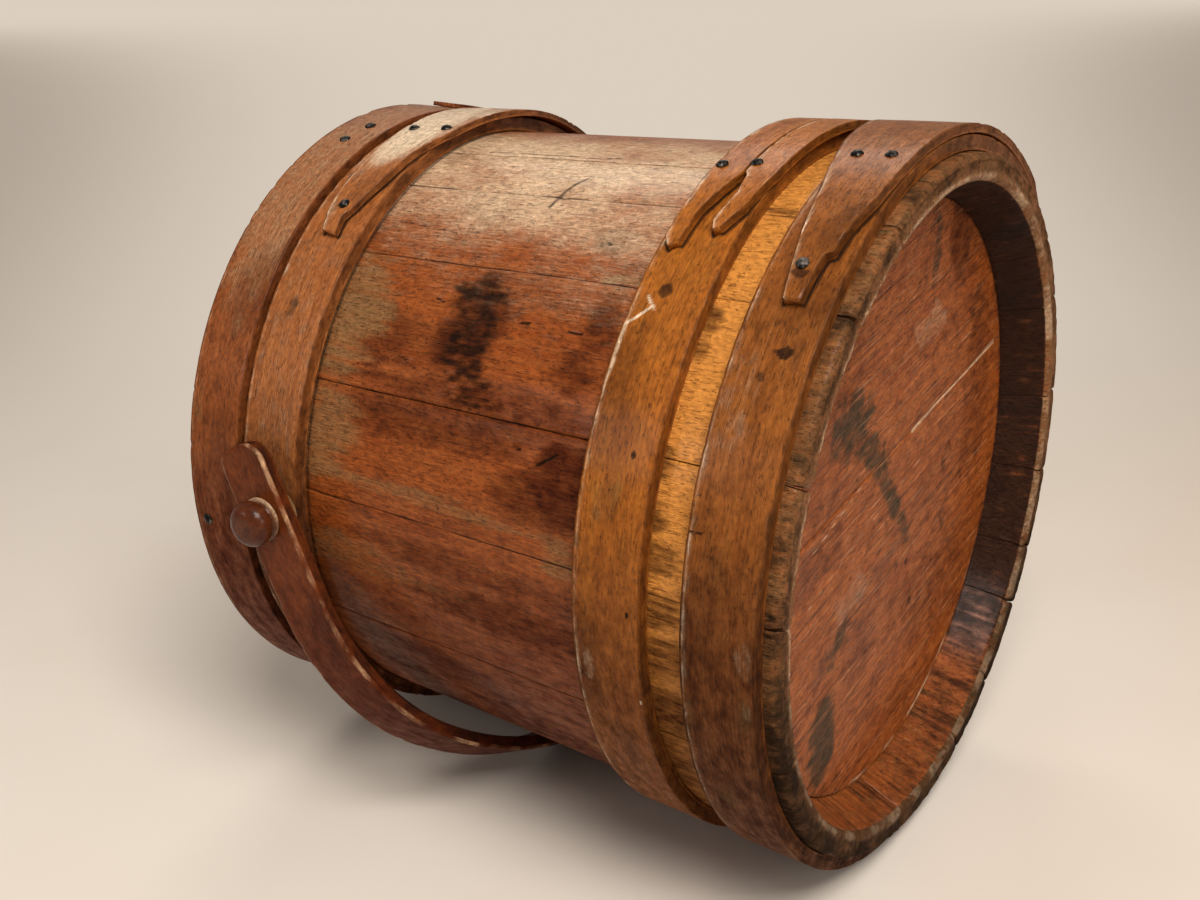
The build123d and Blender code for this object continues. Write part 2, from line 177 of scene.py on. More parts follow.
@dataclass(frozen=True)
class Blot:
    """A soft patch with a ragged edge: across and along are its half sizes in millimetres.

    The ragged edge is drawn out along the grain by the factor feather.
    """

    angle: float
    place: float
    along: float
    across: float
    strength: float = 1.0
    turn: float = 0.0
    ragged: float = 0.45
    feather: float = 1.0

    def cover(self, s: Array, angle: Array) -> Array:
        """How much of the patch lies on each place: 1 - (x/along)^2 - (y/across)^2, roughened."""
        return self.flat(s - self.place, from_top(angle, self.angle) * ARC)

    def flat(self, x: Array, y: Array) -> Array:
        """The same for millimetres from the middle of the patch."""
        c, t = math.cos(math.radians(self.turn)), math.sin(math.radians(self.turn))
        across, along_ = self.across, self.along
        inside = 1.0 - ((c * x + t * y) / along_) ** 2 - ((c * y - t * x) / across) ** 2
        seed = int(abs(self.angle) * 10 + self.place)
        size = max(2.5, 0.35 * min(along_, across) + 2.0)
        near = inside > -3.0
        rough = np.zeros(inside.shape)
        long, short = x[near] / (size * self.feather), y[near] * self.feather ** 0.5 / size
        rough[near] = clouds(seed, long, short, octaves=3)
        return self.strength * ease(0.0, 0.8, inside + self.ragged * 1.6 * rough)


@dataclass(frozen=True)
class Stroke:
    """A scratch or crack: a line of (angle, s) corners with a half width in millimetres."""

    corners: tuple[tuple[float, float], ...]
    width: float
    strength: float = 1.0

    def cover(self, s: Array, angle: Array) -> Array:
        """How much of the stroke lies on each place, by the distance to its nearest piece."""
        return self.flat(s, angle * ARC, [(place, turn * ARC) for turn, place in self.corners])

    def flat(self, x: Array, y: Array, corners: list[tuple[float, float]]) -> Array:
        """The same for a line of corners given in millimetres."""
        nearest = np.full(x.shape, 1e6)
        for (x0, y0), (x1, y1) in zip(corners[:-1], corners[1:]):
            dx, dy = x1 - x0, y1 - y0
            t = np.clip(((x - x0) * dx + (y - y0) * dy) / (dx * dx + dy * dy), 0.0, 1.0)
            nearest = np.minimum(nearest, np.hypot(x - x0 - t * dx, y - y0 - t * dy))
        return self.strength * (1.0 - ease(0.35 * self.width, 1.3 * self.width, nearest))


def blots(rows: dict[float, list[tuple[float, ...]]]) -> list[Blot]:
    """Patches from rows of their numbers, listed by the factor that draws out their ragged edge."""
    return [Blot(*row, feather=feather) for feather, listed in rows.items() for row in listed]


def strokes(*rows: tuple) -> list[Stroke]:
    """Scratches and cracks from rows of corners, half width and strength."""
    return [Stroke(*row) for row in rows]


def covered(marks: list[Blot | Stroke], s: Array, angle: Array) -> Array:
    """The strongest of several marks at each place."""
    s, angle = np.broadcast_arrays(s, angle)
    total = np.zeros(s.shape)
    for mark in marks:
        total = np.maximum(total, mark.cover(s, angle))
    return total


def from_top(angle: Array, middle: float = 0.0) -> Array:
    """How far an angle is from a middle one, from -180 to 180 degrees."""
    return (angle - middle + 180.0) % 360.0 - 180.0


def margin(v: Array, width: Array) -> Array:
    """Millimetres to the nearer edge of a strip, from the share v of the way across it."""
    return np.minimum(v, 1 - v) * width


# ---------------------------------------------------------------- meshes

@dataclass
class Shell:
    """A closed skin, with the values that are painted on its points."""

    points: Array
    quads: Array
    caps: list[Array]
    paint: dict[str, Array]


def skin(rings: Array, paint: dict[str, Array], round_trip: bool = False) -> Shell:
    """Join closed rings of points by quads, and close the first and last ring by a flat face.

    Args:
        rings: points, as (rings, points in a ring, 3).
        paint: values on the same grid, one number or three to a point.
        round_trip: whether the last ring joins the first one, so that there is nothing to close.

    Returns:
        The closed skin, turned so that its faces point outward, which is so when the sum of
        a . (b x c) / 6 over its triangles is positive.
    """
    count, around = rings.shape[:2]
    index = np.arange(count * around).reshape(count, around)
    ahead = np.roll(index, -1, axis=0) if round_trip else index[1:]
    here = index if round_trip else index[:-1]
    corners = [here, np.roll(here, -1, axis=1), np.roll(ahead, -1, axis=1), ahead]
    quads = np.stack(corners, axis=-1).reshape(-1, 4)
    caps = [] if round_trip else [index[0][::-1], index[-1]]
    points = rings.reshape(-1, 3)
    middle = points - points.mean(axis=0)
    a, b, c, d = (middle[quads[:, k]] for k in range(4))
    volume = np.einsum("ij,ij->i", a, np.cross(b, c) + np.cross(c, d)).sum()
    for cap in caps:
        fan = middle[cap]
        volume += np.einsum("j,ij->i", fan[0], np.cross(fan[1:-1], fan[2:])).sum()
    if volume < 0:
        quads = quads[:, ::-1]
        caps = [cap[::-1] for cap in caps]
    flat = {name: value.reshape((count * around,) + value.shape[2:]) for name, value in paint.items()}
    return Shell(points, quads, caps, flat)


def piece(name: str, shells: list[Shell], material: Material, nodes: list[str], body: str,
          slot: str) -> bpy.types.Object:
    """Make one object of several skins and put it in the place of CAD nodes.

    Args:
        name: name of the object.
        shells: its skins, which all have the same painted values.
        material: its finish.
        nodes: the CAD nodes that it stands for.
        body: the body that it moves with.
        slot: the material slot of the record; not used.

    Returns:
        The object, at the origin, with its place in its mesh.
    """
    starts = np.cumsum([0] + [len(shell.points) for shell in shells])
    faces = []
    for start, shell in zip(starts, shells):
        faces += (shell.quads + start).tolist()
        faces += [(cap + start).tolist() for cap in shell.caps]
    mesh = bpy.data.meshes.new(name)
    mesh.from_pydata(np.concatenate([shell.points for shell in shells]).tolist(), [], faces)
    mesh.polygons.foreach_set("use_smooth", np.ones(len(mesh.polygons), bool))
    for label in shells[0].paint:
        values = np.concatenate([shell.paint[label] for shell in shells]).astype(np.float32)
        kind, key = ("FLOAT_VECTOR", "vector") if values.ndim == 2 else ("FLOAT", "value")
        mesh.attributes.new(label, kind, "POINT").data.foreach_set(key, values.ravel())
    mesh.materials.append(material)
    mesh.update()
    made = bpy.data.objects.new(name, mesh)
    bpy.context.scene.collection.objects.link(made)
    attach(made, body)
    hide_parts(*nodes)
    LOG.info("%s: %d faces", name, len(mesh.polygons))
    return made


@dataclass(frozen=True)
class Section:
    """Closed outline of a strip, wide in v and thick in w, with rounded arrises.

    Each point is at v * width + dv across the strip and w * thickness + dw through it.
    """

    v: Array
    dv: Array
    w: Array
    dw: Array

    @staticmethod
    def strip(across: int, through: int, back: int, arris: float) -> "Section":
        """Outline with evenly spread points on each side and a quarter round at each corner.

        Args:
            across: points on the outer side.
            through: points on each narrow side.
            back: points on the inner side.
            arris: radius of the corners.

        Returns:
            The outline, which starts at the corner v = 0, w = 1.
        """
        turn = np.radians([0.0, 30.0, 60.0, 90.0])
        run, rise = arris * (1 - np.cos(turn)), arris * (1 - np.sin(turn))
        outer, side, inner = (np.linspace(0, 1, n + 2)[1:-1] for n in (across, through, back))
        inset = [arris * (1 - 2 * part) for part in (outer, side, inner)]
        flat = [np.zeros(n) for n in (across, through, back)]
        full = [np.ones(n) for n in (across, through, back)]
        low, high = np.zeros(4), np.ones(4)
        v = [low, outer, high, full[1], high, 1 - inner, low, flat[1]]
        dv = [run, inset[0], -run[::-1], flat[1], -run, -inset[2], run[::-1], flat[1]]
        w = [high, full[0], high, 1 - side, low, flat[2], low, side]
        dw = [-rise, flat[0], -rise[::-1], -inset[1], rise, flat[2], rise[::-1], inset[1]]
        return Section(*(np.concatenate(part) for part in (v, dv, w, dw)))


# ---------------------------------------------------------------- nodes of the finishes

class Value:
    """A number that a node gives; the usual signs add Math nodes."""

    def __init__(self, bench: "Bench", socket: Socket) -> None:
        """Hold the socket and the bench that adds nodes."""
        self.bench = bench
        self.socket = socket

    def _math(self, operation: str, first: "Value | float", second: "Value | float") -> "Value":
        """Add a Math node on two values."""
        node = self.bench.node("ShaderNodeMath", {"operation": operation}, {0: first, 1: second})
        return Value(self.bench, node.outputs[0])

    def __add__(self, other: "Value | float") -> "Value":
        """Sum."""
        return self._math("ADD", self, other)

    def __radd__(self, other: float) -> "Value":
        """Sum, with the number first."""
        return self._math("ADD", other, self)

    def __sub__(self, other: "Value | float") -> "Value":
        """Difference."""
        return self._math("SUBTRACT", self, other)

    def __rsub__(self, other: float) -> "Value":
        """Difference, with the number first."""
        return self._math("SUBTRACT", other, self)

    def __mul__(self, other: "Value | float") -> "Value":
        """Product."""
        return self._math("MULTIPLY", self, other)

    def at_most(self, limit: float) -> "Value":
        """The value, cut off at a limit."""
        return self._math("MINIMUM", self, limit)

    def step(self, low: float, high: float) -> "Value":
        """Smooth step from 0 at low to 1 at high."""
        node = self.bench.node("ShaderNodeMapRange", {"interpolation_type": "SMOOTHSTEP"},
                               {"Value": self, "From Min": low, "From Max": high})
        return Value(self.bench, node.outputs["Result"])


class Bench:
    """A material being made, and the nodes that are added to it."""

    def __init__(self, name: str) -> None:
        """Start a material with nothing but its output."""
        self.material = bpy.data.materials.new(name)
        self.material.use_nodes = True
        self.tree = self.material.node_tree
        self.tree.nodes.clear()
        self.output = self.tree.nodes.new("ShaderNodeOutputMaterial")

    def node(self, kind: str, settings: dict, inputs: dict) -> bpy.types.Node:
        """Add a node.

        Args:
            kind: type of the node.
            settings: its own settings, set before the sockets.
            inputs: numbers, colour codes, sockets or Values for its sockets, by name or by number.

        Returns:
            The node.
        """
        made = self.tree.nodes.new(kind)
        for name, setting in settings.items():
            setattr(made, name, setting)
        for key, given in inputs.items():
            given = colour(given) if isinstance(given, str) else given
            socket = given.socket if isinstance(given, Value) else given
            if isinstance(socket, Socket):
                self.tree.links.new(socket, made.inputs[key])
            else:
                made.inputs[key].default_value = socket
        return made

    def painted(self, name: str) -> Value:
        """A number that is painted on the mesh."""
        node = self.node("ShaderNodeAttribute", {"attribute_name": name}, {})
        return Value(self, node.outputs["Fac"])

    def vector(self, name: str) -> Socket:
        """Three numbers that are painted on the mesh."""
        return self.node("ShaderNodeAttribute", {"attribute_name": name}, {}).outputs["Vector"]

    def scaled(self, vector: Socket, lengthwise: float, across: float) -> Socket:
        """A place with its first coordinate multiplied by one number and the others by another."""
        scales = (lengthwise, across, across)
        return self.node("ShaderNodeVectorMath", {"operation": "MULTIPLY"}, {0: vector, 1: scales}).outputs[0]

    def noise(self, vector: Socket, lengthwise: float, across: float, detail: float = 2.0,
              distortion: float = 0.0) -> Value:
        """Soft noise about 0.5, with a period of one over each scale."""
        place = self.scaled(vector, lengthwise, across)
        node = self.node("ShaderNodeTexNoise", {}, {"Vector": place, "Scale": 1.0, "Detail": detail,
                                                    "Distortion": distortion})
        return Value(self, node.outputs["Fac"])

    def cracks(self, vector: Socket, lengthwise: float, across: float) -> Value:
        """Distance to the edges of an irregular net, 0 on the edges."""
        node = self.node("ShaderNodeTexVoronoi", {"feature": "DISTANCE_TO_EDGE"},
                         {"Vector": self.scaled(vector, lengthwise, across), "Scale": 1.0})
        return Value(self, node.outputs["Distance"])

    def along(self, place: Socket, way: tuple[float, float, float]) -> Value:
        """How far a place lies along a direction."""
        node = self.node("ShaderNodeVectorMath", {"operation": "DOT_PRODUCT"}, {0: place, 1: way})
        return Value(self, node.outputs["Value"])

    def mix(self, share: Value | float, first: object, second: object, blend: str = "MIX") -> Socket:
        """Colour between two colours or codes, by a share from 0 to 1."""
        node = self.node("ShaderNodeMix", {"data_type": "RGBA", "blend_type": blend, "clamp_factor": True},
                         {0: share, 6: first, 7: second})
        return node.outputs[2]

    def finish(self, settings: dict, height: Value, depth: float) -> Material:
        """Add the surface shader, with a relief.

        Args:
            settings: values of the surface's sockets, by name.
            height: relief, as a number about 0 to 1.
            depth: what 1 of it stands for, in millimetres.

        Returns:
            The material.
        """
        surface = self.node("ShaderNodeBsdfPrincipled", {}, settings)
        relief = self.node("ShaderNodeBump", {}, {"Strength": 1.0, "Distance": depth * MM, "Height": height})
        self.tree.links.new(relief.outputs["Normal"], surface.inputs["Normal"])
        self.tree.links.new(surface.outputs[0], self.output.inputs["Surface"])
        return self.material


def colour(code: str) -> tuple[float, float, float, float]:
    """Linear colour of a code of six hexadecimal digits."""
    parts = [int(code[k:k + 2], 16) / 255.0 for k in (0, 2, 4)]
    linear = [part / 12.92 if part <= 0.04045 else ((part + 0.055) / 1.055) ** 2.4 for part in parts]
    return (*linear, 1.0)


# ---------------------------------------------------------------- finishes

@dataclass(frozen=True)
class Timber:
    """Stained and worn wood. Its grain follows the painted place "timber", along the grain first.

    The painted numbers say where the finish changes: "bare" where the staining never took and where
    painted light falls, "wine" where it is deep and red and where painted shade falls, "silt" where
    it is grey and dull, "rub" where it is worn pale by rubbing and where a painted sheen lies, and
    "soot" where it is black with sooty marks and with painted shade.
    """

    name: str
    heart: str
    pale: str
    dark: str
    # colours of the painted layers; the unstained colour also stands for painted light, the deep red and the
    # black also for painted shade, and the pale worn colour also for a painted sheen
    bare_and_lit: str = "c88630"
    wine_and_shade: str = "361007"
    silt: str = "866440"
    rub: str = "c9a27c"
    soot: str = "150d09"
    roughness: float = 0.36
    coat: float = 0.13
    shine: float = 0.1
    figure: float = 0.35
    grain: float = 0.5
    mottled: float = 0.5
    speckle: float = 0.5
    scored: float = 0.0
    relief: float = 0.35

    def build(self) -> Material:
        """Make the material: the wood's own tones, the painted layers over them, then pores and fibres."""
        bench = Bench(self.name)
        place = bench.vector("timber")
        scores = bench.noise(place, 26.0, 950.0, 1.0).step(0.63, 0.7)
        figure = bench.noise(place, 9.0, 240.0, 3.0, 0.5).step(0.32, 0.68)
        fibre = bench.noise(place, 70.0, 1500.0).step(0.25, 0.75)
        fine = bench.noise(place, 330.0, 560.0).step(0.28, 0.72)
        lines = bench.noise(place, 16.0, 620.0).step(0.56, 0.7) * self.grain
        mottle = bench.noise(place, 130.0, 210.0, 3.0)
        drift = bench.noise(place, 17.0, 32.0, 3.0)
        pores = bench.noise(place, 260.0, 1150.0, 1.0).step(0.62, 0.72)
        specks = bench.noise(place, 620.0, 760.0, 1.0).step(0.66, 0.74)
        net = 1 - bench.cracks(place, 330.0, 620.0).step(0.0, 0.09)
        ragged = (mottle - 0.5) * 0.8 + (fibre - 0.5) * 0.25
        # the unstained share also carries painted light, the red and black shares also painted shade, and the
        # pale share also a painted sheen
        bare_and_lit = (bench.painted("bare_and_lit") + ragged * 0.5).step(0.3, 0.7)
        wine_and_shade = bench.painted("wine_and_shade") * (0.75 + ragged)
        silt = (bench.painted("silt") + ragged * 0.8).step(0.1, 1.1)
        rub = bench.painted("rub")
        rubbed = (rub + ragged * 0.55 + net * rub * 0.3).step(0.12, 1.1)
        soot = (bench.painted("soot") + ragged * 0.4).step(0.15, 0.9)
        honey = bench.mix(figure * 0.5 + drift * 0.3, self.bare_and_lit, self.pale)
        tone = bench.mix(figure * self.figure, self.heart, self.pale)
        layers = ((mottle.step(0.5, 0.28) * self.mottled * 0.6, self.pale),
                  (mottle.step(0.48, 0.76) * self.mottled, self.dark),
                  (drift.step(0.52, 0.72) * 0.5, self.dark),
                  (lines * 0.6, self.dark),
                  (bare_and_lit, bench.mix(0.75, honey, self.bare_and_lit)),
                  (wine_and_shade, self.wine_and_shade),
                  (silt * 0.85, self.silt),
                  (rubbed, self.rub),
                  (soot * 0.92, self.soot),
                  (scores * self.scored, self.rub),
                  ((pores * 0.55 + specks * 0.5) * self.speckle, self.soot))
        for share, shade in layers:
            tone = bench.mix(share, tone, shade)
        shades = ((fibre, [1 - 0.22 * self.grain] * 3, [1 + 0.14 * self.grain] * 3),
                  (fine, [0.77, 0.75, 0.73], [1.14] * 3))
        for share, hollow, ridge in shades:
            tone = bench.mix(1.0, tone, bench.mix(share, (*hollow, 1.0), (*ridge, 1.0)), "MULTIPLY")
        gloss = (1 - wine_and_shade * 1.2 - soot * 0.6 - silt * 0.5).step(0.0, 1.0) * self.coat
        rough = self.roughness + (mottle - 0.5) * 0.4 + wine_and_shade * 0.35 + soot * 0.25 + silt * 0.15 + bare_and_lit * 0.08
        height = figure * 0.25 + fibre * 0.3 + mottle * 0.6 + fine * 0.35
        height = height - pores * 0.7 - specks * 0.6 - net * rub * 0.5 - lines * 0.4
        return bench.finish({"Base Color": tone, "Roughness": rough, "Specular IOR Level": self.shine,
                             "Coat Weight": gloss, "Coat Roughness": 0.18, "IOR": 1.42}, height, self.relief)


@dataclass(frozen=True)
class Iron:
    """Black wrought iron with a worn glint."""

    name: str
    scale: str = "191615"
    glint: str = "6b6560"

    def build(self) -> Material:
        """Make the material."""
        bench = Bench(self.name)
        place = bench.node("ShaderNodeTexCoord", {}, {}).outputs["Object"]
        grain = bench.noise(place, 900.0, 900.0, 3.0)
        worn = bench.noise(place, 420.0, 420.0).step(0.45, 0.62)
        tone = bench.mix(worn, self.scale, self.glint)
        rough = 0.36 + grain * 0.3
        return bench.finish({"Base Color": tone, "Roughness": rough, "Metallic": 0.85}, grain, 0.2)


@dataclass(frozen=True)
class Ground:
    """Pale warm studio floor, darker towards the near right as painted shade. Far off, camera and glossy
    rays see it glow in one tone of its own, a little darker at both sides as painted shade.
    """

    name: str
    near: str = "e3dbd2"
    mottle_and_shade: str = "cdbba8"
    far: str = "dbcebe"
    corner: str = "b2a496"
    ahead: tuple[float, float, float] = (-0.547, 0.837, 0.0)
    rightward: tuple[float, float, float] = (0.837, 0.547, 0.0)

    def build(self) -> Material:
        """Make the material."""
        bench = Bench(self.name)
        place = bench.node("ShaderNodeTexCoord", {}, {}).outputs["Object"]
        depth, side = bench.along(place, self.ahead), bench.along(place, self.rightward)
        haze = bench.noise(place, 7.0, 7.0, 3.0).step(0.3, 0.8)
        # painted shade: the floor near by darkens towards the right, besides its faint mottling
        tone = bench.mix(haze * 0.14 + side.step(0.1, 0.55) * 0.55, self.near, self.mottle_and_shade)
        floor = bench.node("ShaderNodeBsdfPrincipled", {},
                           {"Base Color": tone, "Roughness": 0.85, "Specular IOR Level": 0.15})
        # painted shade: far off the glowing floor darkens towards both sides
        corner_shade = ((side * side).at_most(2.5) * (2.45 - depth * 0.75)).step(0.0, 1.0)
        tone = bench.mix(corner_shade, self.far, self.corner)
        glow = bench.node("ShaderNodeEmission", {}, {"Color": tone, "Strength": 1.0})
        path = bench.node("ShaderNodeLightPath", {}, {})
        camera, glossy, clear = (Value(bench, path.outputs[f"Is {kind} Ray"])
                                 for kind in ("Camera", "Glossy", "Transmission"))
        share = (camera + glossy + clear).step(0.0, 1.0) * depth.step(0.15, 0.75)
        mixed = bench.node("ShaderNodeMixShader", {}, {0: share, 1: floor.outputs[0], 2: glow.outputs[0]})
        bench.tree.links.new(mixed.outputs[0], bench.output.inputs["Surface"])
        return bench.material


# ---------------------------------------------------------------- the barrel's wall

# names of the painted layers, which carry stains and wear, and also painted light, painted shade and a
# painted sheen
PAINTED_LAYERS = dict.fromkeys(("bare_and_lit", "wine_and_shade", "silt", "rub", "soot"), 0.0)


def painted(shape: tuple[int, ...], **layers: Array) -> dict[str, Array]:
    """All painted numbers on a grid: the ones that are given, and 0 for the rest."""
    return {name: np.clip(np.broadcast_to(layers.get(name, 0.0), shape), 0.0, 1.0) for name in PAINTED_LAYERS}


@dataclass
class Staves:
    """The wall of the firkin: staves with a worn chime at the bottom end and a croze inside."""

    lay: Lay
    wood: Material
    thickness: float = 18.0
    lip: float = 3.4
    lip_round: float = 2.6
    chime_lip: float = 10.8
    groove: tuple[float, float] = (24.65, 30.95)
    groove_depth: float = 5.0
    fine: float = 0.9
    coarse: float = 1.7
    seen: tuple[float, float] = (-15.0, 125.0)
    dents: list = field(default_factory=lambda: blots({1: [
        (71.3, 109.4, 3.4, 1.6, 0.9, 25), (69.5, 104, 3.6, 1.4, 0.9, 25), (69.6, 121.8, 2.2, 1.2, 0.7),
        (48.6, 178.9, 3, 1, 0.8), (50.2, 133.7, 3.4, 1.1, 0.9, -20), (50.5, 109.3, 4.2, 1, 0.9),
        (60.2, 184, 4.5, 0.9, 0.7, 30), (23, 150, 2, 11, 0.5, 18), (87, 128, 3, 1.4, 0.5)]}))

    def wall(self, s: Array) -> Array:
        """Outside radius of the wall."""
        return BOTTOM_RADIUS - TAPER * s

    def outline(self, step: float) -> tuple[Array, Array, Array, Array]:
        """Section of a stave, from the outer arris of the chime towards the lid and back inside.

        Args:
            step: spacing of the points on the outside.

        Returns:
            s and radius of the points, how much each belongs to the outside, and to the end grain.
        """
        lip, rounded = self.lip, self.lip_round
        turn = np.radians(np.linspace(0.0, 90.0, 7))
        inside = self.wall(self.groove[1]) - self.thickness
        back = TOP_RADIUS - self.thickness
        inner_lip = BOTTOM_RADIUS - self.chime_lip
        body = np.concatenate([spread(lip, 9.0, 0.8), spread(9.0, LENGTH - 0.5, step)[1:]])
        bevel = spread(1.0, RECESS, 1.1)
        slope = spread(LENGTH - 0.5, self.groove[1], 9.0)
        parts = [
            (lip * (1 - np.cos(turn)), self.wall(lip) - rounded * (1 - np.sin(turn))),
            (body[1:], self.wall(body[1:])),
            (np.full(7, LENGTH), np.linspace(TOP_RADIUS - 0.5, back + 0.5, 7)),
            (slope, np.interp(slope, [self.groove[1], LENGTH], [inside, back])),
            (np.array(self.groove[::-1]), np.full(2, inside + self.groove_depth)),
            (np.array([self.groove[0], 23.4]), np.full(2, inside)),
            (bevel[::-1], np.interp(bevel, [1.0, RECESS], [inner_lip - 0.4, inside])[::-1]),
            (np.zeros(11), np.linspace(inner_lip + 1.0, self.wall(lip) - rounded, 12)[:-1]),
        ]
        s = np.concatenate([part[0] for part in parts])
        radius = np.concatenate([part[1] for part in parts])
        outside = (np.arange(len(s)) < len(turn) + len(body) - 1) * 1.0
        return s, radius, outside, (s < 2.2) * 1.0

    def stations(self, width: float, step: float) -> Array:
        """Distances from one edge of a stave to the other, closer together at both edges."""
        edge = np.array([0.0, 0.12, 0.35, 0.8, 1.6])
        return np.concatenate([edge, spread(2.6, width - 2.6, step), (width - edge)[::-1]])

    def joint_shift(self, joint: float, s: Array, radius: Array) -> Array:
        """How far a joint strays from straight, in millimetres, which is most at the chime."""
        seed = 2000 + 5 * round(2 * joint)
        stray = clouds(seed, s / 9.0, radius / 6.0) * np.exp(-s / 9.0) * 1.5
        return stray + 0.25 * clouds(seed + 1, s / 45.0)

    def opening(self, joint: float, s: Array) -> Array:
        """Half the width of a joint, in millimetres: wider at the chime, where the wood has shrunk."""
        seed = 2000 + 5 * round(2 * joint)
        amount = 0.2 + 0.4 * (1 + clouds(seed + 2, np.array([0.5]))[0])
        return 0.04 + 0.04 * clouds(seed + 3, s / 30.0) + amount * np.exp(-s / 5.0)

    def paint(self, s: Array, angle: Array, radius: Array, outside: Array, end: Array,
              edge: Array) -> dict[str, Array]:
        """Stains and wear of the wall, with painted shade on its underside, inside the chime and along
        the edges of the hoops, a painted sheen along its top, and painted light at the lowest part of
        the inside of the chime.

        Args:
            s: places along the barrel.
            angle: angles round it.
            radius: radii.
            outside: how much each point belongs to the outside.
            end: how much each belongs to the end grain.
            edge: distance to the nearer edge of the stave.

        Returns:
            The painted numbers.
        """
        body = ease(56.0, 60.0, s) * outside
        chime = (1 - ease(7.0, 12.0, s)) * outside * (1 - end)
        honey = ease(33.0, 36.0, s) * (1 - ease(58.0, 60.0, s)) * outside
        bevel = (1 - outside) * (1 - end) * (s < RECESS + 1.0)
        within = (1 - outside) * (s >= RECESS + 1.0)
        round_ = angle % 360.0
        silt = blots({
            5: [(54, 226, 32, 36, 0.95, 0, 0.4)],
            4: [(75, 226, 32, 30, 0.8, 0, 0.4), (81.9, 165, 86, 6, 0.6), (97, 190, 60, 8, 0.4)],
            3: [(40.6, 96, 16, 3.2, 0.7), (86, 97, 12, 13, 0.7), (32, 216, 22, 9, 0.4),
                (96, 215, 34, 14, 0.5)],
            2: [(79.5, 231, 14, 14, 0.55)]})
        wine_and_shade = blots({
            4: [(67, 148, 86, 20, 0.7), (71, 185, 34, 8, 0.5), (99, 120, 60, 12, 0.55),
                (92, 150, 70, 9, 0.45)],
            3: [(77, 108, 30, 16, 0.8)],
            2: [(73, 98, 20, 24), (48, 99, 10, 14, 0.8), (57, 104, 12, 12, 0.7), (52.5, 158, 17, 32, 0.8)],
            1: [(33, 111, 16, 9, 0.75), (57, 200, 16, 15, 0.4)]})
        burns = blots({
            5: [(66, 58, 9, 9), (74, 57.5, 10, 8), (80.5, 55, 14, 9), (88, 54, 16, 9, 0.9, 8),
                (96, 50, 18, 10, 0.85), (106, 50, 18, 12, 0.9), (121, 48, 20, 14, 0.8)],
            4: [(45.5, 57, 9, 8), (49.8, 56.6, 7, 6, 0.9), (135, 49, 14, 12, 0.8), (210, 50, 12, 12, 0.8),
                (250, 47, 10, 10, 0.8), (300, 50, 12, 12, 0.8), (340, 50, 10, 9, 0.8)],
            3: [(23.3, 51.4, 14, 2.5, 0.8)]})
        soot = blots({
            3: [(45, 160, 16, 3, 0.5)],
            2: [(64, 148, 18, 3.6, 0.75)],
            1: [(46, 161, 18, 14, 0.72), (51.5, 158, 19, 18, 0.7), (57, 157, 17, 15, 0.78),
                (61.5, 151, 14, 7, 0.6), (35, 112, 9, 6, 0.45), (49.5, 101, 4, 8, 0.5),
                (57, 103, 3, 6, 0.4)]})
        lines = strokes(
            (((10.9, 210), (10.4, 196), (10.7, 184), (10.6, 168), (11.0, 152), (10.2, 141)), 0.5, 0.9),
            (((27.2, 152), (24.8, 151), (22.2, 151), (18.5, 146)), 1.3, 0.7),
            (((26.4, 131.5), (28.5, 128), (31.1, 123.3), (34.3, 111.8)), 0.5, 0.6),
            (((34.0, 222), (34.6, 204), (35.2, 188)), 0.4, 0.75), (((50.2, 136), (50.2, 131.6)), 0.7, 1.0),
            (((50.6, 112.5), (50.4, 106.5)), 0.6, 1.0), (((48.2, 181.5), (48.9, 176.5)), 0.6, 0.9),
            (((71.6, 111.5), (69.3, 103)), 0.8, 0.9), (((59.3, 188), (60.2, 184), (60.9, 180)), 0.5, 0.8),
            (((69.4, 123.5), (69.8, 120)), 0.6, 0.8))
        hidden = np.random.default_rng(11)
        for _ in range(46):
            at = (hidden.uniform(118, 352), hidden.uniform(62, 226))
            size = hidden.uniform(8, 42, 2) * (1.0, 0.42)
            [silt, wine_and_shade, soot][hidden.choice(3, p=(0.35, 0.4, 0.25))].append(
                Blot(at[0], at[1], size[0], size[1], hidden.uniform(0.3, 0.8)))
        cloud = clouds(31, s / 34.0, angle * ARC / 20.0, octaves=3)
        # painted shade: darker towards the underside, which is turned away from the light above
        low = ease(80.0, 116.0, round_) * (1 - ease(235.0, 275.0, round_))
        streak = clouds(45, s / 18.0, angle * ARC / 1.3, octaves=3)
        # painted sheen as well as wear: a pale band along the top of the wall
        crown = np.exp(-((from_top(angle) - 16.0) / 26.0) ** 2)
        upper = 0.14 * ease(68.0, 50.0, angle) * ease(8.0, 24.0, angle)
        crust = clouds(41, s / 1.6, angle * ARC / 1.5, radius / 1.6, octaves=3)
        patch = clouds(49, s / 9.0, angle * ARC / 11.0, radius / 5.0, octaves=3)
        seams = np.exp(-edge / 0.42) * (0.55 + 0.45 * clouds(43, s / 11.0, angle * 3.0))
        # painted light: the lowest part of the inside of the chime is lighter where the light falls, and the
        # rest of that inside is darkened by dirty wood and painted shade
        foot = bevel * (1 - ease(28.0, 70.0, np.abs((round_ - 172.0))))
        worn = ease(144.0, 140.5, radius) * ease(-0.7, 0.5, patch + 0.4 * crust)
        burnt = covered(burns, s, angle) * honey * (0.8 + 0.5 * streak)
        crinkle = 0.85 + 0.5 * clouds(47, s / 5.0, angle * ARC / 1.5, octaves=2)
        # painted shade: dark lines on the wall along the edges of the middle and top hoops
        hoop_edge_shade = body * (np.exp(-np.abs(s - 87.0) / 1.2) + np.exp(-np.abs(s - 230.5) / 1.6)) * 0.75
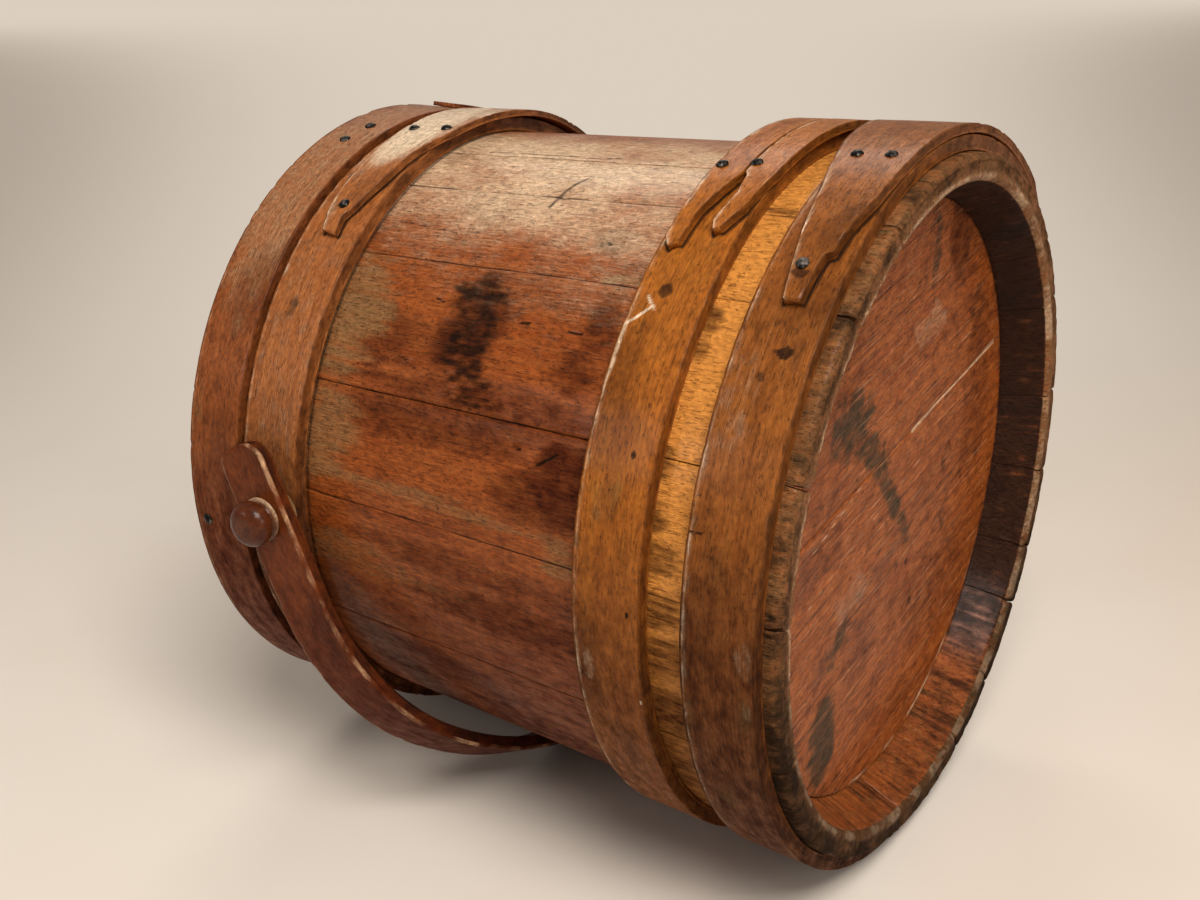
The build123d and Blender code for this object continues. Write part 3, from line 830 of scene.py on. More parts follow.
        # the dark layer: sooty patches, scratches and burns, dark joints, the dirty chime and end grain,
        # darker still on the underside as painted shade, the inside of the chime dark with dirty wood and
        # painted shade, and the painted shade along the hoops
        dirt_and_shade = [covered(soot, s, angle) * body * crinkle + covered(lines, s, angle) * body + 0.35 * burnt,
                seams * outside,
                chime * (0.44 + 0.2 * crust + 0.24 * streak + 0.4 * patch + 0.35 * low),
                end * (0.5 - 0.34 * worn + 0.2 * crust + 0.3 * patch + 0.3 * low),
                bevel * (1.0 - 0.62 * foot + 0.4 * streak + 0.3 * patch),
                hoop_edge_shade]
        # painted shade: the deep red of the wall, the honey band, the chime and the end grain deepens towards
        # the underside
        red = (covered(wine_and_shade, s, angle) + 0.6 * low + 0.22 * ease(0.1, 0.7, cloud)) * body
        grey = covered(silt, s, angle) * body
        return painted(
            s.shape,
            bare_and_lit=np.maximum.reduce([honey, body * upper, foot * 0.3, within * 0.6]),
            wine_and_shade=red + burnt + 0.9 * honey * low + (chime + end * (1 - worn)) * (0.2 + 0.6 * low),
            silt=np.maximum(grey, (chime + end) * (0.75 + 0.2 * crust) + bevel * 0.3),
            rub=np.maximum(body * crown * (0.74 + 0.5 * cloud), end * (0.6 * worn + 0.2 * crust)),
            soot=np.maximum.reduce(dirt_and_shade))

    def stave(self, number: int, start: float, stop: float) -> bpy.types.Object:
        """One stave between two angles.

        Args:
            number: which stave.
            start: angle of its first joint.
            stop: angle of its last joint.

        Returns:
            The object.
        """
        middle = from_top((start + stop) / 2)
        step = self.fine if self.seen[0] < middle < self.seen[1] else self.coarse
        s, radius, outside, end = self.outline(step)
        width = (stop - start) * ARC
        across = self.stations(width, step)[:, None]
        s, radius = s[None, :], radius[None, :]
        edges = [np.radians(joint) * BOTTOM_RADIUS + self.joint_shift(joint % 360.0, s, radius)
                 for joint in (start, stop)]
        gaps = [self.opening(joint % 360.0, s) for joint in (start, stop)]
        share = across / width
        arc = edges[0] * (1 - share) + edges[1] * share
        near, far = (np.clip(1 - reach / 3.0, 0, 1) for reach in (across, width - across))
        arc = arc + gaps[0] * near - gaps[1] * far
        angle = np.degrees(arc / BOTTOM_RADIUS)
        edge = np.minimum(across, width - across) + 0.0 * s
        s, radius = s + 0.0 * angle, radius + 0.0 * angle
        outside, end = outside + 0.0 * angle, end + 0.0 * angle
        seed = 100 + number
        scrape = clouds(seed, s / 60.0, arc / 5.0, octaves=2)
        rough = clouds(seed + 40, s / 4.6, arc / 1.7, octaves=2)
        knots = covered(blots({1: [(46, 161, 15, 14), (56, 157, 14, 17), (64, 148, 18, 6)]}), s, angle)
        knots = np.maximum(knots, 0.5 * covered([Blot(22, 175, 50, 20)], s, angle))
        sink = 0.10 + 0.10 * clouds(seed + 80, np.array([0.5]))[0] + 0.08 * scrape
        sink = sink + 0.32 * np.exp(-edge / 0.45) + knots * (0.3 + 0.5 * rough)
        sink = sink + 0.9 * covered(self.dents, s, angle)
        chips = np.exp(-s / 3.0) * (0.45 + 0.55 * clouds(seed + 120, arc / 4.0, radius / 5.0, octaves=2))
        chips = chips + np.exp(-s / 2.0) * 0.8 * np.exp(-edge / 1.3)
        grain = clouds(seed + 160, arc / 1.5, radius / 1.5, octaves=2)
        radius = radius - outside * (np.maximum(sink, 0.0) + 0.9 * chips)
        s = s + end * (0.25 + 0.55 * chips + 0.16 * grain) * (1 - 0.4 * outside)
        timber = np.stack([s + 37.0 * number, arc, radius + 11.0 * number], axis=-1) * MM
        paint = self.paint(s, angle, radius, outside, end, edge) | {"timber": timber}
        shell = skin(self.lay.place(s, angle, radius), paint)
        node = f"stave_{number:02d}"
        return piece(f"oak_{node}", [shell], self.wood, [node], "bucket", "stave_wood")

    def build(self, nodes: dict[str, bpy.types.Object]) -> None:
        """Make every stave between the angles at which its CAD node begins and ends."""
        for number in range(1, sum(name.startswith("stave_") for name in nodes) + 1):
            start, stop = span(self.lay, nodes[f"stave_{number:02d}"])
            self.stave(number, start, stop)


def span(lay: Lay, node: bpy.types.Object) -> tuple[float, float]:
    """First and last angle of a CAD node round the barrel, in degrees."""
    points = np.zeros(len(node.data.vertices) * 3)
    node.data.vertices.foreach_get("co", points)
    arm = points.reshape(-1, 3) - lay.foot
    angles = np.degrees(np.arctan2(arm @ lay.near, arm @ lay.up))
    middle = math.degrees(math.atan2(arm.mean(axis=0) @ lay.near, arm.mean(axis=0) @ lay.up))
    turned = from_top(angles, middle)
    return middle + turned.min(), middle + turned.max()


# ---------------------------------------------------------------- bent bands and their nails

class Tone(Enum):
    """How far the staining of a band has kept its depth: its share of unstained wood, its share of deep red,
    and how far its underside is darkened as painted shade.
    """

    GOLDEN = (0.27, 0.0, 0.75)
    BROWN = (0.16, 0.04, 1.2)
    RED = (0.06, 0.14, 0.85)


@dataclass
class Band:
    """A bent hoop or the rim of the lid: a full inner turn, and an outer turn cut to a tail.

    Edges, nails and marks are in millimetres above the lower edge, and in degrees.
    """

    lay: Lay
    wood: Material
    node: str
    body: str
    slot: str
    place: float
    width: float
    bore: float
    taper: float
    thickness: float
    ply: float
    tails: list[tuple[list, list]]
    tone: Tone
    arris: float = 0.4
    lift: float = 0.7
    lead: float = -56.0
    soot: list = field(default_factory=list)
    rub: list = field(default_factory=list)
    # how pale the top is painted, as wear and as a painted sheen
    worn_top: float = 0.5
    fine: float = 0.9

    def inner(self, s: Array) -> Array:
        """Radius of the bore, which follows the wall's taper."""
        return self.bore - self.taper * (s - self.place)

    def paint(self, s: Array, angle: Array, v: Array, w: Array, width: Array,
              seed: int, under: bool) -> dict[str, Array]:
        """Wear of a turn: pale arrises, narrow sides darkened as painted shade, a pale top that is wear and a
        painted sheen, darkening towards the underside as painted shade, and the band's own marks.

        Args:
            s: places along the barrel.
            angle: angles round it.
            v: share of the way across, 0 at the lower edge.
            w: share of the way through, 1 on the outside.
            width: width of the turn.
            seed: picks the patterns.
            under: whether this is the inner turn, with a painted shadow along the edges of the tails on it.

        Returns:
            The painted numbers.
        """
        outer = ((w > 0.97) & (v > 0.002) & (v < 0.998)) * 1.0
        side = (1 - outer) * (w > 0.02)
        turn = angle * ARC
        cloud = clouds(seed, s / 16.0, turn / 30.0, octaves=3)
        ragged = clouds(seed + 1, s / 2.5, turn / 6.0, octaves=3)
        golden, red, shade_below = self.tone.value
        round_ = angle % 360.0
        # painted shade: the band darkens towards its underside, as much as its tone says
        low = ease(64.0, 106.0, round_) * (1 - ease(215.0, 265.0, round_))
        # painted sheen as well as wear: the top is paler
        crown = np.exp(-((from_top(angle) - 6.0) / 20.0) ** 2)
        upper = np.exp(-(1 - v) * width / 1.6) * (0.62 + 0.6 * ragged)
        lower = np.exp(-v * width / 0.7) * (0.35 + 0.5 * ragged)
        rub = np.maximum(np.maximum(upper, lower) * outer, covered(self.rub, s, angle) * outer)
        rub = np.maximum(rub, self.worn_top * crown * outer * (0.55 + 0.6 * cloud))
        # painted shade: the narrow sides of the turns are darkened
        soot = np.maximum(covered(self.soot, s, angle) * outer, side * (0.5 + 0.12 * ragged))
        spots = ease(0.5, 0.95, clouds(seed + 2, s / 7.0, turn / 16.0, octaves=3))
        soot = np.maximum(soot, outer * spots * 0.5)
        # painted shadow: a dark line on the inner turn along the edges of the tails that lie on it
        if under:
            ends = [[(turned, self.place + rise) for turned, rise in edge if turned > -13.0]
                    for tail in self.tails for edge in tail if edge[-1][0] > 0.0]
            dirt_and_shade = [Stroke(tuple(end), 1.5, 0.8) for end in ends]
            soot = np.maximum(soot, covered(dirt_and_shade, s, angle) * outer)
        return painted(s.shape, rub=rub, soot=soot, bare_and_lit=outer * golden * (1 + 0.8 * cloud) + 0.1 * side,
                       wine_and_shade=red * (1 + cloud) + shade_below * low + 0.2 * ease(0.1, 0.6, -cloud),
                       silt=outer * 0.5 * ease(0.35, 0.8, clouds(seed + 3, s / 12.0, turn / 22.0, octaves=2)))

    def turn_shell(self, angle: Array, low: Array, high: Array, base: Callable, top: Callable,
                   closed: bool, seed: int) -> Shell:
        """Skin of one turn.

        Args:
            angle: two columns, the angle at the lower and at the upper edge of each station.
            low: s of the lower edge at each station.
            high: s of the upper edge.
            base: inner radius, as a function of s and of the angle.
            top: outer radius, in the same way.
            closed: whether the turn is a whole ring.
            seed: picks the patterns.

        Returns:
            The skin.
        """
        section = Section.strip(int(self.width / self.fine), 5, 8, self.arris)
        v, dv, w, dw = (part[None, :] for part in (section.v, section.dv, section.w, section.dw))
        turn = angle[:, :1] * (1 - v) + angle[:, 1:] * v
        mean = angle.mean(axis=1)[:, None]
        wave = 2 * np.pi * mean / 360.0
        cos, sin = np.cos(wave), np.sin(wave)
        low = low[:, None] + 0.13 * (1 + clouds(seed, 14.0 * cos, 14.0 * sin, octaves=3))
        high = high[:, None] - 0.16 * (1 + clouds(seed + 5, 16.0 * cos, 16.0 * sin, octaves=4))
        width = high - low
        s = low + v * width + dv
        floor, roof = base(s, turn), top(s, turn)
        thick = np.maximum(roof - floor, 0.02)
        radius = floor + w * thick + dw * np.clip(thick / (2.2 * self.arris), 0.0, 1.0)
        arc = turn * ARC
        swell = 0.16 * (1 + clouds(seed + 9, s / 22.0, arc / 34.0, octaves=2))
        nick = 0.5 * ease(0.35, 0.8, clouds(seed + 11, arc / 5.0, v * 2.0, octaves=2))
        split = 0.11 * (1 + clouds(seed + 13, arc / 6.0, radius / 0.9, octaves=2)) * (1 - 2 * v)
        radius = radius - (w > 0.5) * (swell + nick * np.exp(-margin(v, width) / 0.9))
        s = s + split * ((w > 0.02) & (w < 0.98))
        timber = np.stack([arc + 53.0 * seed, s, radius], axis=-1) * MM
        v, w, width = (part + 0 * s for part in (v, w, width))
        paint = self.paint(s, turn, v, w, width, seed, closed) | {"timber": timber}
        return skin(self.lay.place(s, turn, radius), paint, closed)

    def ring(self, seed: int) -> Shell:
        """The inner turn, a whole ring."""
        angle = np.arange(0.0, 360.0, self.fine / ARC)
        low = np.full(len(angle), self.place)
        return self.turn_shell(np.stack([angle, angle], axis=-1), low, low + self.width,
                               lambda s, turn: self.inner(s), lambda s, turn: self.inner(s) + self.thickness,
                               True, seed)

    def outer_turn(self, upper: list, lower: list, seed: int) -> Shell:
        """The outer turn: it leaves the ring along a tangent and ends between two cut edges.

        Args:
            upper: corners of the upper edge, as (angle, rise).
            lower: corners of the lower edge.
            seed: picks the patterns.

        Returns:
            The skin.
        """
        share = np.linspace(0.0, 1.0, int(105.0 * ARC / self.fine))
        above = along(upper, share, ARC)
        below = along(lower, share, ARC)
        start = self.lead

        def base(s: Array, turn: Array) -> Array:
            """Just off the ring, and a little more where the two turns have parted."""
            parted = np.exp(-((turn + 22.0) / 15.0) ** 2) * self.lift
            return self.inner(s) + self.thickness + np.where(turn < start + 9.0, -0.5, 0.12 + parted)

        def top(s: Array, turn: Array) -> Array:
            """The tangent r / cos(a - start), up to the full thickness of two turns."""
            hoop = self.inner(s) + self.thickness
            rise = hoop / np.cos(np.radians(np.clip(turn - start, 0.0, 60.0)))
            tip = 0.25 * ease(30.0, 44.0, turn)
            return np.minimum(rise, hoop + self.ply - tip)

        return self.turn_shell(np.stack([below[:, 0], above[:, 0]], axis=-1), self.place + below[:, 1],
                               self.place + above[:, 1], base, top, False, seed)

    def build(self, seed: int) -> None:
        """Make the band: its ring and every strip of its outer turn."""
        shells = [self.ring(seed)]
        for number, (upper, lower) in enumerate(self.tails, 1):
            shells.append(self.outer_turn(upper, lower, seed + 20 * number))
        piece(f"bent_{self.node}", shells, self.wood, [self.node], self.body, self.slot)


@dataclass
class Nails:
    """Wrought nails: a faceted head, and a shank into the wood."""

    lay: Lay
    iron: Material
    radius: float = 2.7
    height: float = 1.5
    shank: float = 1.1
    facets: int = 5

    def nail(self, s: float, angle: float, seat: float, length: float) -> Shell:
        """One nail.

        Args:
            s: its place along the barrel.
            angle: its angle.
            seat: radius at which its head sits.
            length: length of its shank.

        Returns:
            The skin.
        """
        outward = math.cos(math.radians(angle)) * self.lay.up + math.sin(math.radians(angle)) * self.lay.near
        aside = np.cross(outward, self.lay.lidward)
        middle = self.lay.place(np.array(s), np.array(angle), np.array(seat))
        widths = np.array([self.shank] * 2 + [share * self.radius for share in (1.0, 1.0, 0.82, 0.45, 0.12)])
        heights = np.array([-length, 0.0, 0.0] + [share * self.height for share in (0.22, 0.55, 0.86, 1.0)])
        turn = np.linspace(0, 2 * np.pi, 25)[:-1]
        phase = angle * 3.7 + s
        half = np.pi / self.facets
        flat = np.cos(half) / np.cos((turn + phase) % (2 * np.pi / self.facets) - half)
        mixed = np.array([0, 0, 0.45, 0.55, 0.9, 0.9, 0.5])[:, None]
        size = widths[:, None] * (1 - mixed + mixed * flat[None, :])
        bent = np.where(heights > 0, 0.12 * np.sin(phase), 0.0)[:, None]
        parts = [(size * np.cos(turn) + bent, self.lay.lidward), (size * np.sin(turn), aside),
                 (heights[:, None] + 0 * size, outward)]
        rings = self.lay.combine(middle, parts)
        return skin(rings, {})

    def build(self, node: str, body: str, places: list, seat_of: Callable, length_of: Callable) -> None:
        """Make the nails of one band.

        Args:
            node: the CAD node that they stand for.
            body: the body that they move with.
            places: (angle, s) of each nail.
            seat_of: radius of the wood under a head, as a function of s and angle.
            length_of: length of a shank, in the same way.
        """
        shells = [self.nail(s, angle, seat_of(s, angle), length_of(s, angle)) for angle, s in places]
        piece(f"iron_{node}", shells, self.iron, [node], body, "nail_iron")


# ---------------------------------------------------------------- boards

@dataclass
class Boards:
    """A round head of two boards, joined along a line across it."""

    lay: Lay
    wood: Material
    name: str
    body: str
    slot: str
    face: float
    thickness: float
    radius: float
    joint_angle: float
    joint_offset: float
    tongue: float = 0.0
    gap: float = 0.12
    fine: float = 1.2
    marks: dict = field(default_factory=dict)
    strokes: dict = field(default_factory=dict)
    rim_soot: float = 0.6
    rim_rub: float = 0.0

    def paint(self, near: Array, up: Array, q: Array, p: Array, outside: Array) -> dict:
        """Stains of the face, with a painted glint along part of its rim, and a rim darkened by dirty wood
        and painted shade.

        Args:
            near: millimetres from the middle towards the near side.
            up: millimetres upward.
            q: millimetres square to the joint.
            p: millimetres along the joint.
            outside: 1 on the outer face.

        Returns:
            The painted numbers.
        """
        layers = {}
        for name in PAINTED_LAYERS:
            marks = [blot.flat(near - blot.angle, up - blot.place) for blot in self.marks.get(name, [])]
            marks += [stroke.flat(near, up, list(stroke.corners)) for stroke in self.strokes.get(name, [])]
            layers[name] = np.maximum.reduce([np.zeros(near.shape)] + marks) * outside
        cloud = clouds(61, p / 60.0, q / 13.0, octaves=3)
        reach = np.hypot(near, up)
        # darker towards the rim, where the boards meet the wood round them: dirty wood and painted shade
        rim = np.exp(-(self.radius - reach) / 3.5) * self.rim_soot
        layers["soot"] = np.maximum(layers["soot"], rim)
        broken = 0.95 + 0.5 * clouds(63, p / 22.0, q / 1.9, octaves=2)
        layers["silt"] = layers["silt"] * broken
        # painted glint: a pale broken line just inside the rim on its lower right part, with the darkening
        # taken away under it
        bearing = np.degrees(np.arctan2(near, up)) % 360.0
        shown = ease(140.0, 170.0, bearing) * (1 - ease(225.0, 245.0, bearing))
        glint = np.exp(-(self.radius - 1.2 - reach) ** 2 / 1.5)
        glint = glint * ease(-0.3, 0.5, clouds(64, bearing / 6.0)) * shown
        layers["rub"] = np.maximum(layers["rub"], glint * self.rim_rub)
        layers["soot"] = layers["soot"] * (1 - glint * self.rim_rub)
        layers["wine_and_shade"] = np.maximum(layers["wine_and_shade"], 0.3 * ease(0.0, 0.7, cloud))
        layers["silt"] = np.maximum(layers["silt"], 0.25 * ease(0.2, 0.8, -cloud))
        return painted(near.shape, **layers)

    def board(self, side: int) -> Shell:
        """One board: sections along the joint, each as long as the chord at its distance from it."""
        start, stop = self.joint_offset + side * self.gap / 2, side * (self.radius - 0.4)
        first, last = math.asin(start / self.radius), math.asin(stop / self.radius)
        rows = int(abs(last - first) * self.radius / self.fine)
        q = self.radius * np.sin(np.linspace(first, last, rows))[:, None]
        chord, tip = (np.sqrt(np.maximum(reach ** 2 - q ** 2, 0.0))
                      for reach in (self.radius, self.radius + self.tongue))
        face = chord * np.linspace(-1, 1, int(2 * self.radius / self.fine))[None, :]
        arris, half = 0.5, self.thickness / 2
        edge = [(chord, half / 2), (tip, half / 2), (tip, 1.5 * half), (chord, 1.5 * half),
                (chord, self.thickness)]
        parts = [(face[:, :1], arris), (face * (1 - arris / self.radius), 0.0), (face[:, -1:], arris)]
        parts += edge + [(-reach, level) for reach, level in edge[::-1]]
        p = np.concatenate([part for part, level in parts], axis=1)
        deep = np.concatenate([np.full(part.shape, level) for part, level in parts], axis=1)
        outside = (deep < 0.01) * 1.0
        q = q + 0 * p
        tilt = math.radians(self.joint_angle)
        near, up = q * math.sin(tilt) + p * math.cos(tilt), q * math.cos(tilt) - p * math.sin(tilt)
        ridge = 0.10 * clouds(71, p / 70.0, q / 2.4, octaves=2) + 0.16 * clouds(72, p / 45.0, q / 30.0)
        joint = np.exp(-np.abs(q - self.joint_offset) / 0.5) * 0.25
        deep = deep + outside * (0.26 + ridge + joint)
        s = self.face + deep if self.body == "bucket" else self.face + self.thickness - deep
        angle, radius = np.degrees(np.arctan2(near, up)), np.hypot(near, up)
        timber = np.stack([p + 300.0 * side, q, s], axis=-1) * MM
        paint = self.paint(near, up, q, p, outside) | {"timber": timber}
        return skin(self.lay.place(s, angle, radius), paint)

    def build(self) -> None:
        """Make both boards."""
        for number, side in ((1, 1), (2, -1)):
            node = f"{self.name}_board_{number}"
            piece(f"sawn_{node}", [self.board(side)], self.wood, [node], self.body, self.slot)


# ---------------------------------------------------------------- the bail and its pegs

@dataclass
class Bail:
    """The bentwood handle: two arms with rounded tails, and a bow between them."""

    lay: Lay
    wood: Material
    lean: float
    half_width: float = 154.0
    width: float = 26.0
    thickness: float = 6.5
    tail: float = 32.5
    tail_round: float = 9.0
    arm: float = 40.0
    corner: float = 112.0
    drop: float = 167.9
    arris: float = 1.2
    fine: float = 1.1
    bore: float = 5.6

    def path(self) -> tuple[Array, Array, Array]:
        """Outer line of the bail, from one tail to the other.

        It is a straight arm, a round corner, and a crown whose circle touches both corners:
        its radius is (a^2 + b^2 - c^2) / (2 (b - c)), with a and b from the corner's centre to
        the middle and to the bow, and c the corner's radius.

        Returns:
            Walked length, points as (side, rise) from the peg axis, and outward directions.
        """
        side, depth = self.half_width - self.corner, self.drop - self.arm
        crown = (side ** 2 + depth ** 2 - self.corner ** 2) / (2 * (depth - self.corner))
        centre = crown - self.drop
        turn = math.atan2(side, centre + self.arm)
        tip = np.array([0.0, 0.35, 0.9, 1.7, 2.7, 4.0, 5.4, 7.0, 9.0])
        arm = np.concatenate([tip, spread(10.0, self.tail + self.arm, self.fine)])
        straight = np.stack([np.full(len(arm), self.half_width), self.tail - arm], axis=-1)
        out = np.tile([1.0, 0.0], (len(arm), 1))
        bend = np.linspace(0.0, math.pi / 2 - turn, int(self.corner * (math.pi / 2 - turn) / self.fine))[1:]
        knee_out = np.stack([np.cos(bend), -np.sin(bend)], axis=-1)
        knee = np.array([side, -self.arm]) + self.corner * knee_out
        sweep = np.linspace(turn, 0.0, int(crown * turn / self.fine))[1:]
        bow_out = np.stack([np.sin(sweep), -np.cos(sweep)], axis=-1)
        bow = np.array([0.0, centre]) + crown * bow_out
        points, outward = (np.concatenate([half, (half * [-1.0, 1.0])[-2::-1]]) for half in
                           (np.concatenate([straight, knee, bow]), np.concatenate([out, knee_out, bow_out])))
        walked = np.concatenate([[0.0], np.cumsum(np.hypot(*np.diff(points, axis=0).T))])
        return walked, points, outward

    def build(self) -> bpy.types.Object:
        """Make the bail, swung by its lean from hanging straight down."""
        walked, points, outward = self.path()
        count = self.width / self.fine
        section = Section.strip(int(count), 5, int(count / 1.5), self.arris)
        v, dv, w, dw = (part[None, :] for part in (section.v, section.dv, section.w, section.dw))
        end = np.minimum(walked, walked[-1] - walked)[:, None]
        inset = np.clip(self.tail_round - end, 0.0, self.tail_round)
        width = self.width - 2 * (self.tail_round - np.sqrt(self.tail_round ** 2 - inset ** 2))
        thin = np.clip(1.2 - end, 0.0, 1.2) * 0.8
        arc = walked[:, None] + 0 * v
        across = (v - 0.5) * width + dv
        edge = margin(v, width)
        nick = 0.35 * ease(0.3, 0.8, clouds(301, arc / 7.0, v * 3.0, octaves=2)) * np.exp(-edge)
        swell = 0.12 * (1 + clouds(302, across / 14.0, arc / 40.0, octaves=2))
        through = (w - 1) * self.thickness + dw + np.where(w > 0.5, -thin - nick - swell, thin)
        turn = math.radians(self.lean)
        widthwise = math.cos(turn) * self.lay.lidward + math.sin(turn) * self.lay.up * -1.0
        rise = math.cos(turn) * self.lay.up + math.sin(turn) * self.lay.lidward
        sideways = points[:, None, 0] + outward[:, None, 0] * through
        lift = points[:, None, 1] + outward[:, None, 1] * through
        rings = self.lay.combine(self.lay.peg, [(sideways, self.lay.near), (lift, rise), (across, widthwise)])
        timber = np.stack([arc, across, through], axis=-1) * MM
        outer = (w > 0.97) & (v > 0.002) & (v < 0.998)
        ragged = clouds(303, across / 2.5, arc / 7.0, octaves=3)
        cloud = clouds(304, across / 13.0, arc / 36.0, octaves=3)
        side = (w < 0.98) & (w > 0.02)
        rub = np.exp(-edge / 0.5) * (0.35 + 0.5 * ragged) * (w > 0.9)
        soot = np.where(side, 0.5 + 0.3 * ragged, 0.0) + (w < 0.02) * (0.38 + 0.4 * cloud)
        middle = np.abs(walked - walked[-1] / 2)[:, None]
        soot = np.maximum(soot, outer * 0.5 * ease(0.3, 0.8, cloud))
        # painted shade: the deep red deepens from the tails towards the bow, which lies lowest
        paint = painted(rings.shape[:2], rub=rub, soot=soot,
                        wine_and_shade=0.34 + 0.3 * cloud + 0.55 * ease(50.0, 140.0, end),
                        silt=outer * 0.35 * ease(120.0, 30.0, middle) * ease(0.0, 0.6, -cloud))
        shell = skin(rings, paint | {"timber": timber})
        return self.bored(piece("bent_bail", [shell], self.wood, ["bail"], "handle", "bail_wood"))

    def bored(self, strip: bpy.types.Object) -> bpy.types.Object:
        """Cut the two peg holes out of the arms with a long cylinder."""
        bpy.ops.mesh.primitive_cylinder_add(
            vertices=48, radius=self.bore * MM, depth=3 * self.half_width * MM, location=self.lay.peg,
            rotation=(math.pi / 2, 0.0, 0.0))
        drill = bpy.context.object
        cut = strip.modifiers.new("peg holes", "BOOLEAN")
        cut.operation = "DIFFERENCE"
        cut.solver = "EXACT"
        cut.object = drill
        bpy.context.view_layer.update()
        mesh = bpy.data.meshes.new_from_object(strip.evaluated_get(bpy.context.evaluated_depsgraph_get()))
        strip.modifiers.clear()
        strip.data = mesh
        bpy.data.objects.remove(drill)
        return strip


@dataclass
class Pegs:
    """The turned pegs on which the bail swings, with a washer under each knob, and the spacers."""

    lay: Lay
    wood: Material
    spacer_wood: Material
    root: float = 118.64
    shaft: float = 5.5
    seat: float = 154.3
    washer: float = 9.8
    washer_thickness: float = 1.6
    knob: float = 10.2
    knob_length: float = 12.59
    spacer: float = 10.5
    spacer_span: tuple[float, float] = (144.02, 147.2)

    def turned(self, side: int, outline: Array, worn: Array, closed: bool, seed: int) -> Shell:
        """Skin turned round the peg axis.

        Args:
            side: 1 for the near peg and -1 for the far one.
            outline: (distance from the barrel axis, radius) rows.
            worn: how pale each row is.
            closed: whether the outline is a closed loop.
            seed: picks the patterns.

        Returns:
            The skin.
        """
        turn = np.linspace(0, 2 * np.pi, 73)[:-1]
        out, radius = outline[:, :1] + 0 * turn, outline[:, 1:] + 0 * turn
        cos, sin = np.cos(turn), np.sin(turn)
        chatter = 0.07 * clouds(seed, cos * 3, sin * 3, out / 3.0, octaves=2)
        radius = np.maximum(radius - 0.07 + chatter, 0.2)
        x, y = radius * cos, radius * sin
        parts = [(side * out, self.lay.near), (x, self.lay.lidward), (y, self.lay.up)]
        rings = self.lay.combine(self.lay.peg, parts)
        timber = np.stack([out, x, y], axis=-1) * MM
        rough = clouds(seed + 1, x / 3.0, y / 3.0, out / 3.0, octaves=3)
        pale = worn[:, None] * (0.45 + 0.55 * ease(-0.3, 0.7, y / radius)) + 0 * x
        soot = np.where(pale > 0.5, 0.12 + 0.35 * rough, 0.15 + 0.4 * ease(0.2, 0.8, rough))
        paint = painted(x.shape, rub=pale, soot=soot, wine_and_shade=(1 - pale) * 0.3)
        return skin(rings, paint | {"timber": timber}, closed)

    def build(self) -> None:
        """Make both pegs and both spacers."""
        flange = self.seat + self.washer_thickness
        rest = self.knob_length - self.washer_thickness
        neck = [(0.70, 0.0), (0.74, 0.06), (0.86, 0.16), (0.96, 0.28), (1.0, 0.42), (0.99, 0.56),
                (0.94, 0.68), (0.86, 0.79), (0.76, 0.88), (0.64, 0.945), (0.52, 0.978), (0.36, 0.99),
                (0.2, 0.995), (0.08, 1.0)]
        outline = [
            (self.root, self.shaft - 0.5), (self.root + 0.5, self.shaft), (self.seat - 0.3, self.shaft),
            (self.seat, self.shaft + 0.3), (self.seat, self.washer - 0.5), (self.seat + 0.5, self.washer),
            (flange - 0.5, self.washer), (flange, self.washer - 0.5)]
        count = len(outline)
        outline += [(flange + rest * far, self.knob * wide) for wide, far in neck]
        worn = np.array([0.0] * 3 + [0.7] * (count - 3) + [0.0] * len(neck))
        low, high = self.spacer_span
        bore, bevel = self.shaft + 0.05, 0.6
        ring = [(low, bore), (high, bore), (high, self.spacer - bevel), (high - bevel, self.spacer),
                (low + bevel, self.spacer), (low, self.spacer - bevel)]
        for name, side in (("near", 1), ("far", -1)):
            peg = self.turned(side, np.array(outline), worn, False, 401)
            spacer = self.turned(side, np.array(ring), np.full(len(ring), 0.2), True, 402)
            for kind, wood, shell in (("peg", self.wood, peg), ("spacer", self.spacer_wood, spacer)):
                piece(f"turned_{kind}_{name}", [shell], wood, [f"{kind}_{name}"], "bucket", f"{kind}_wood")


# ---------------------------------------------------------------- floor, light and camera

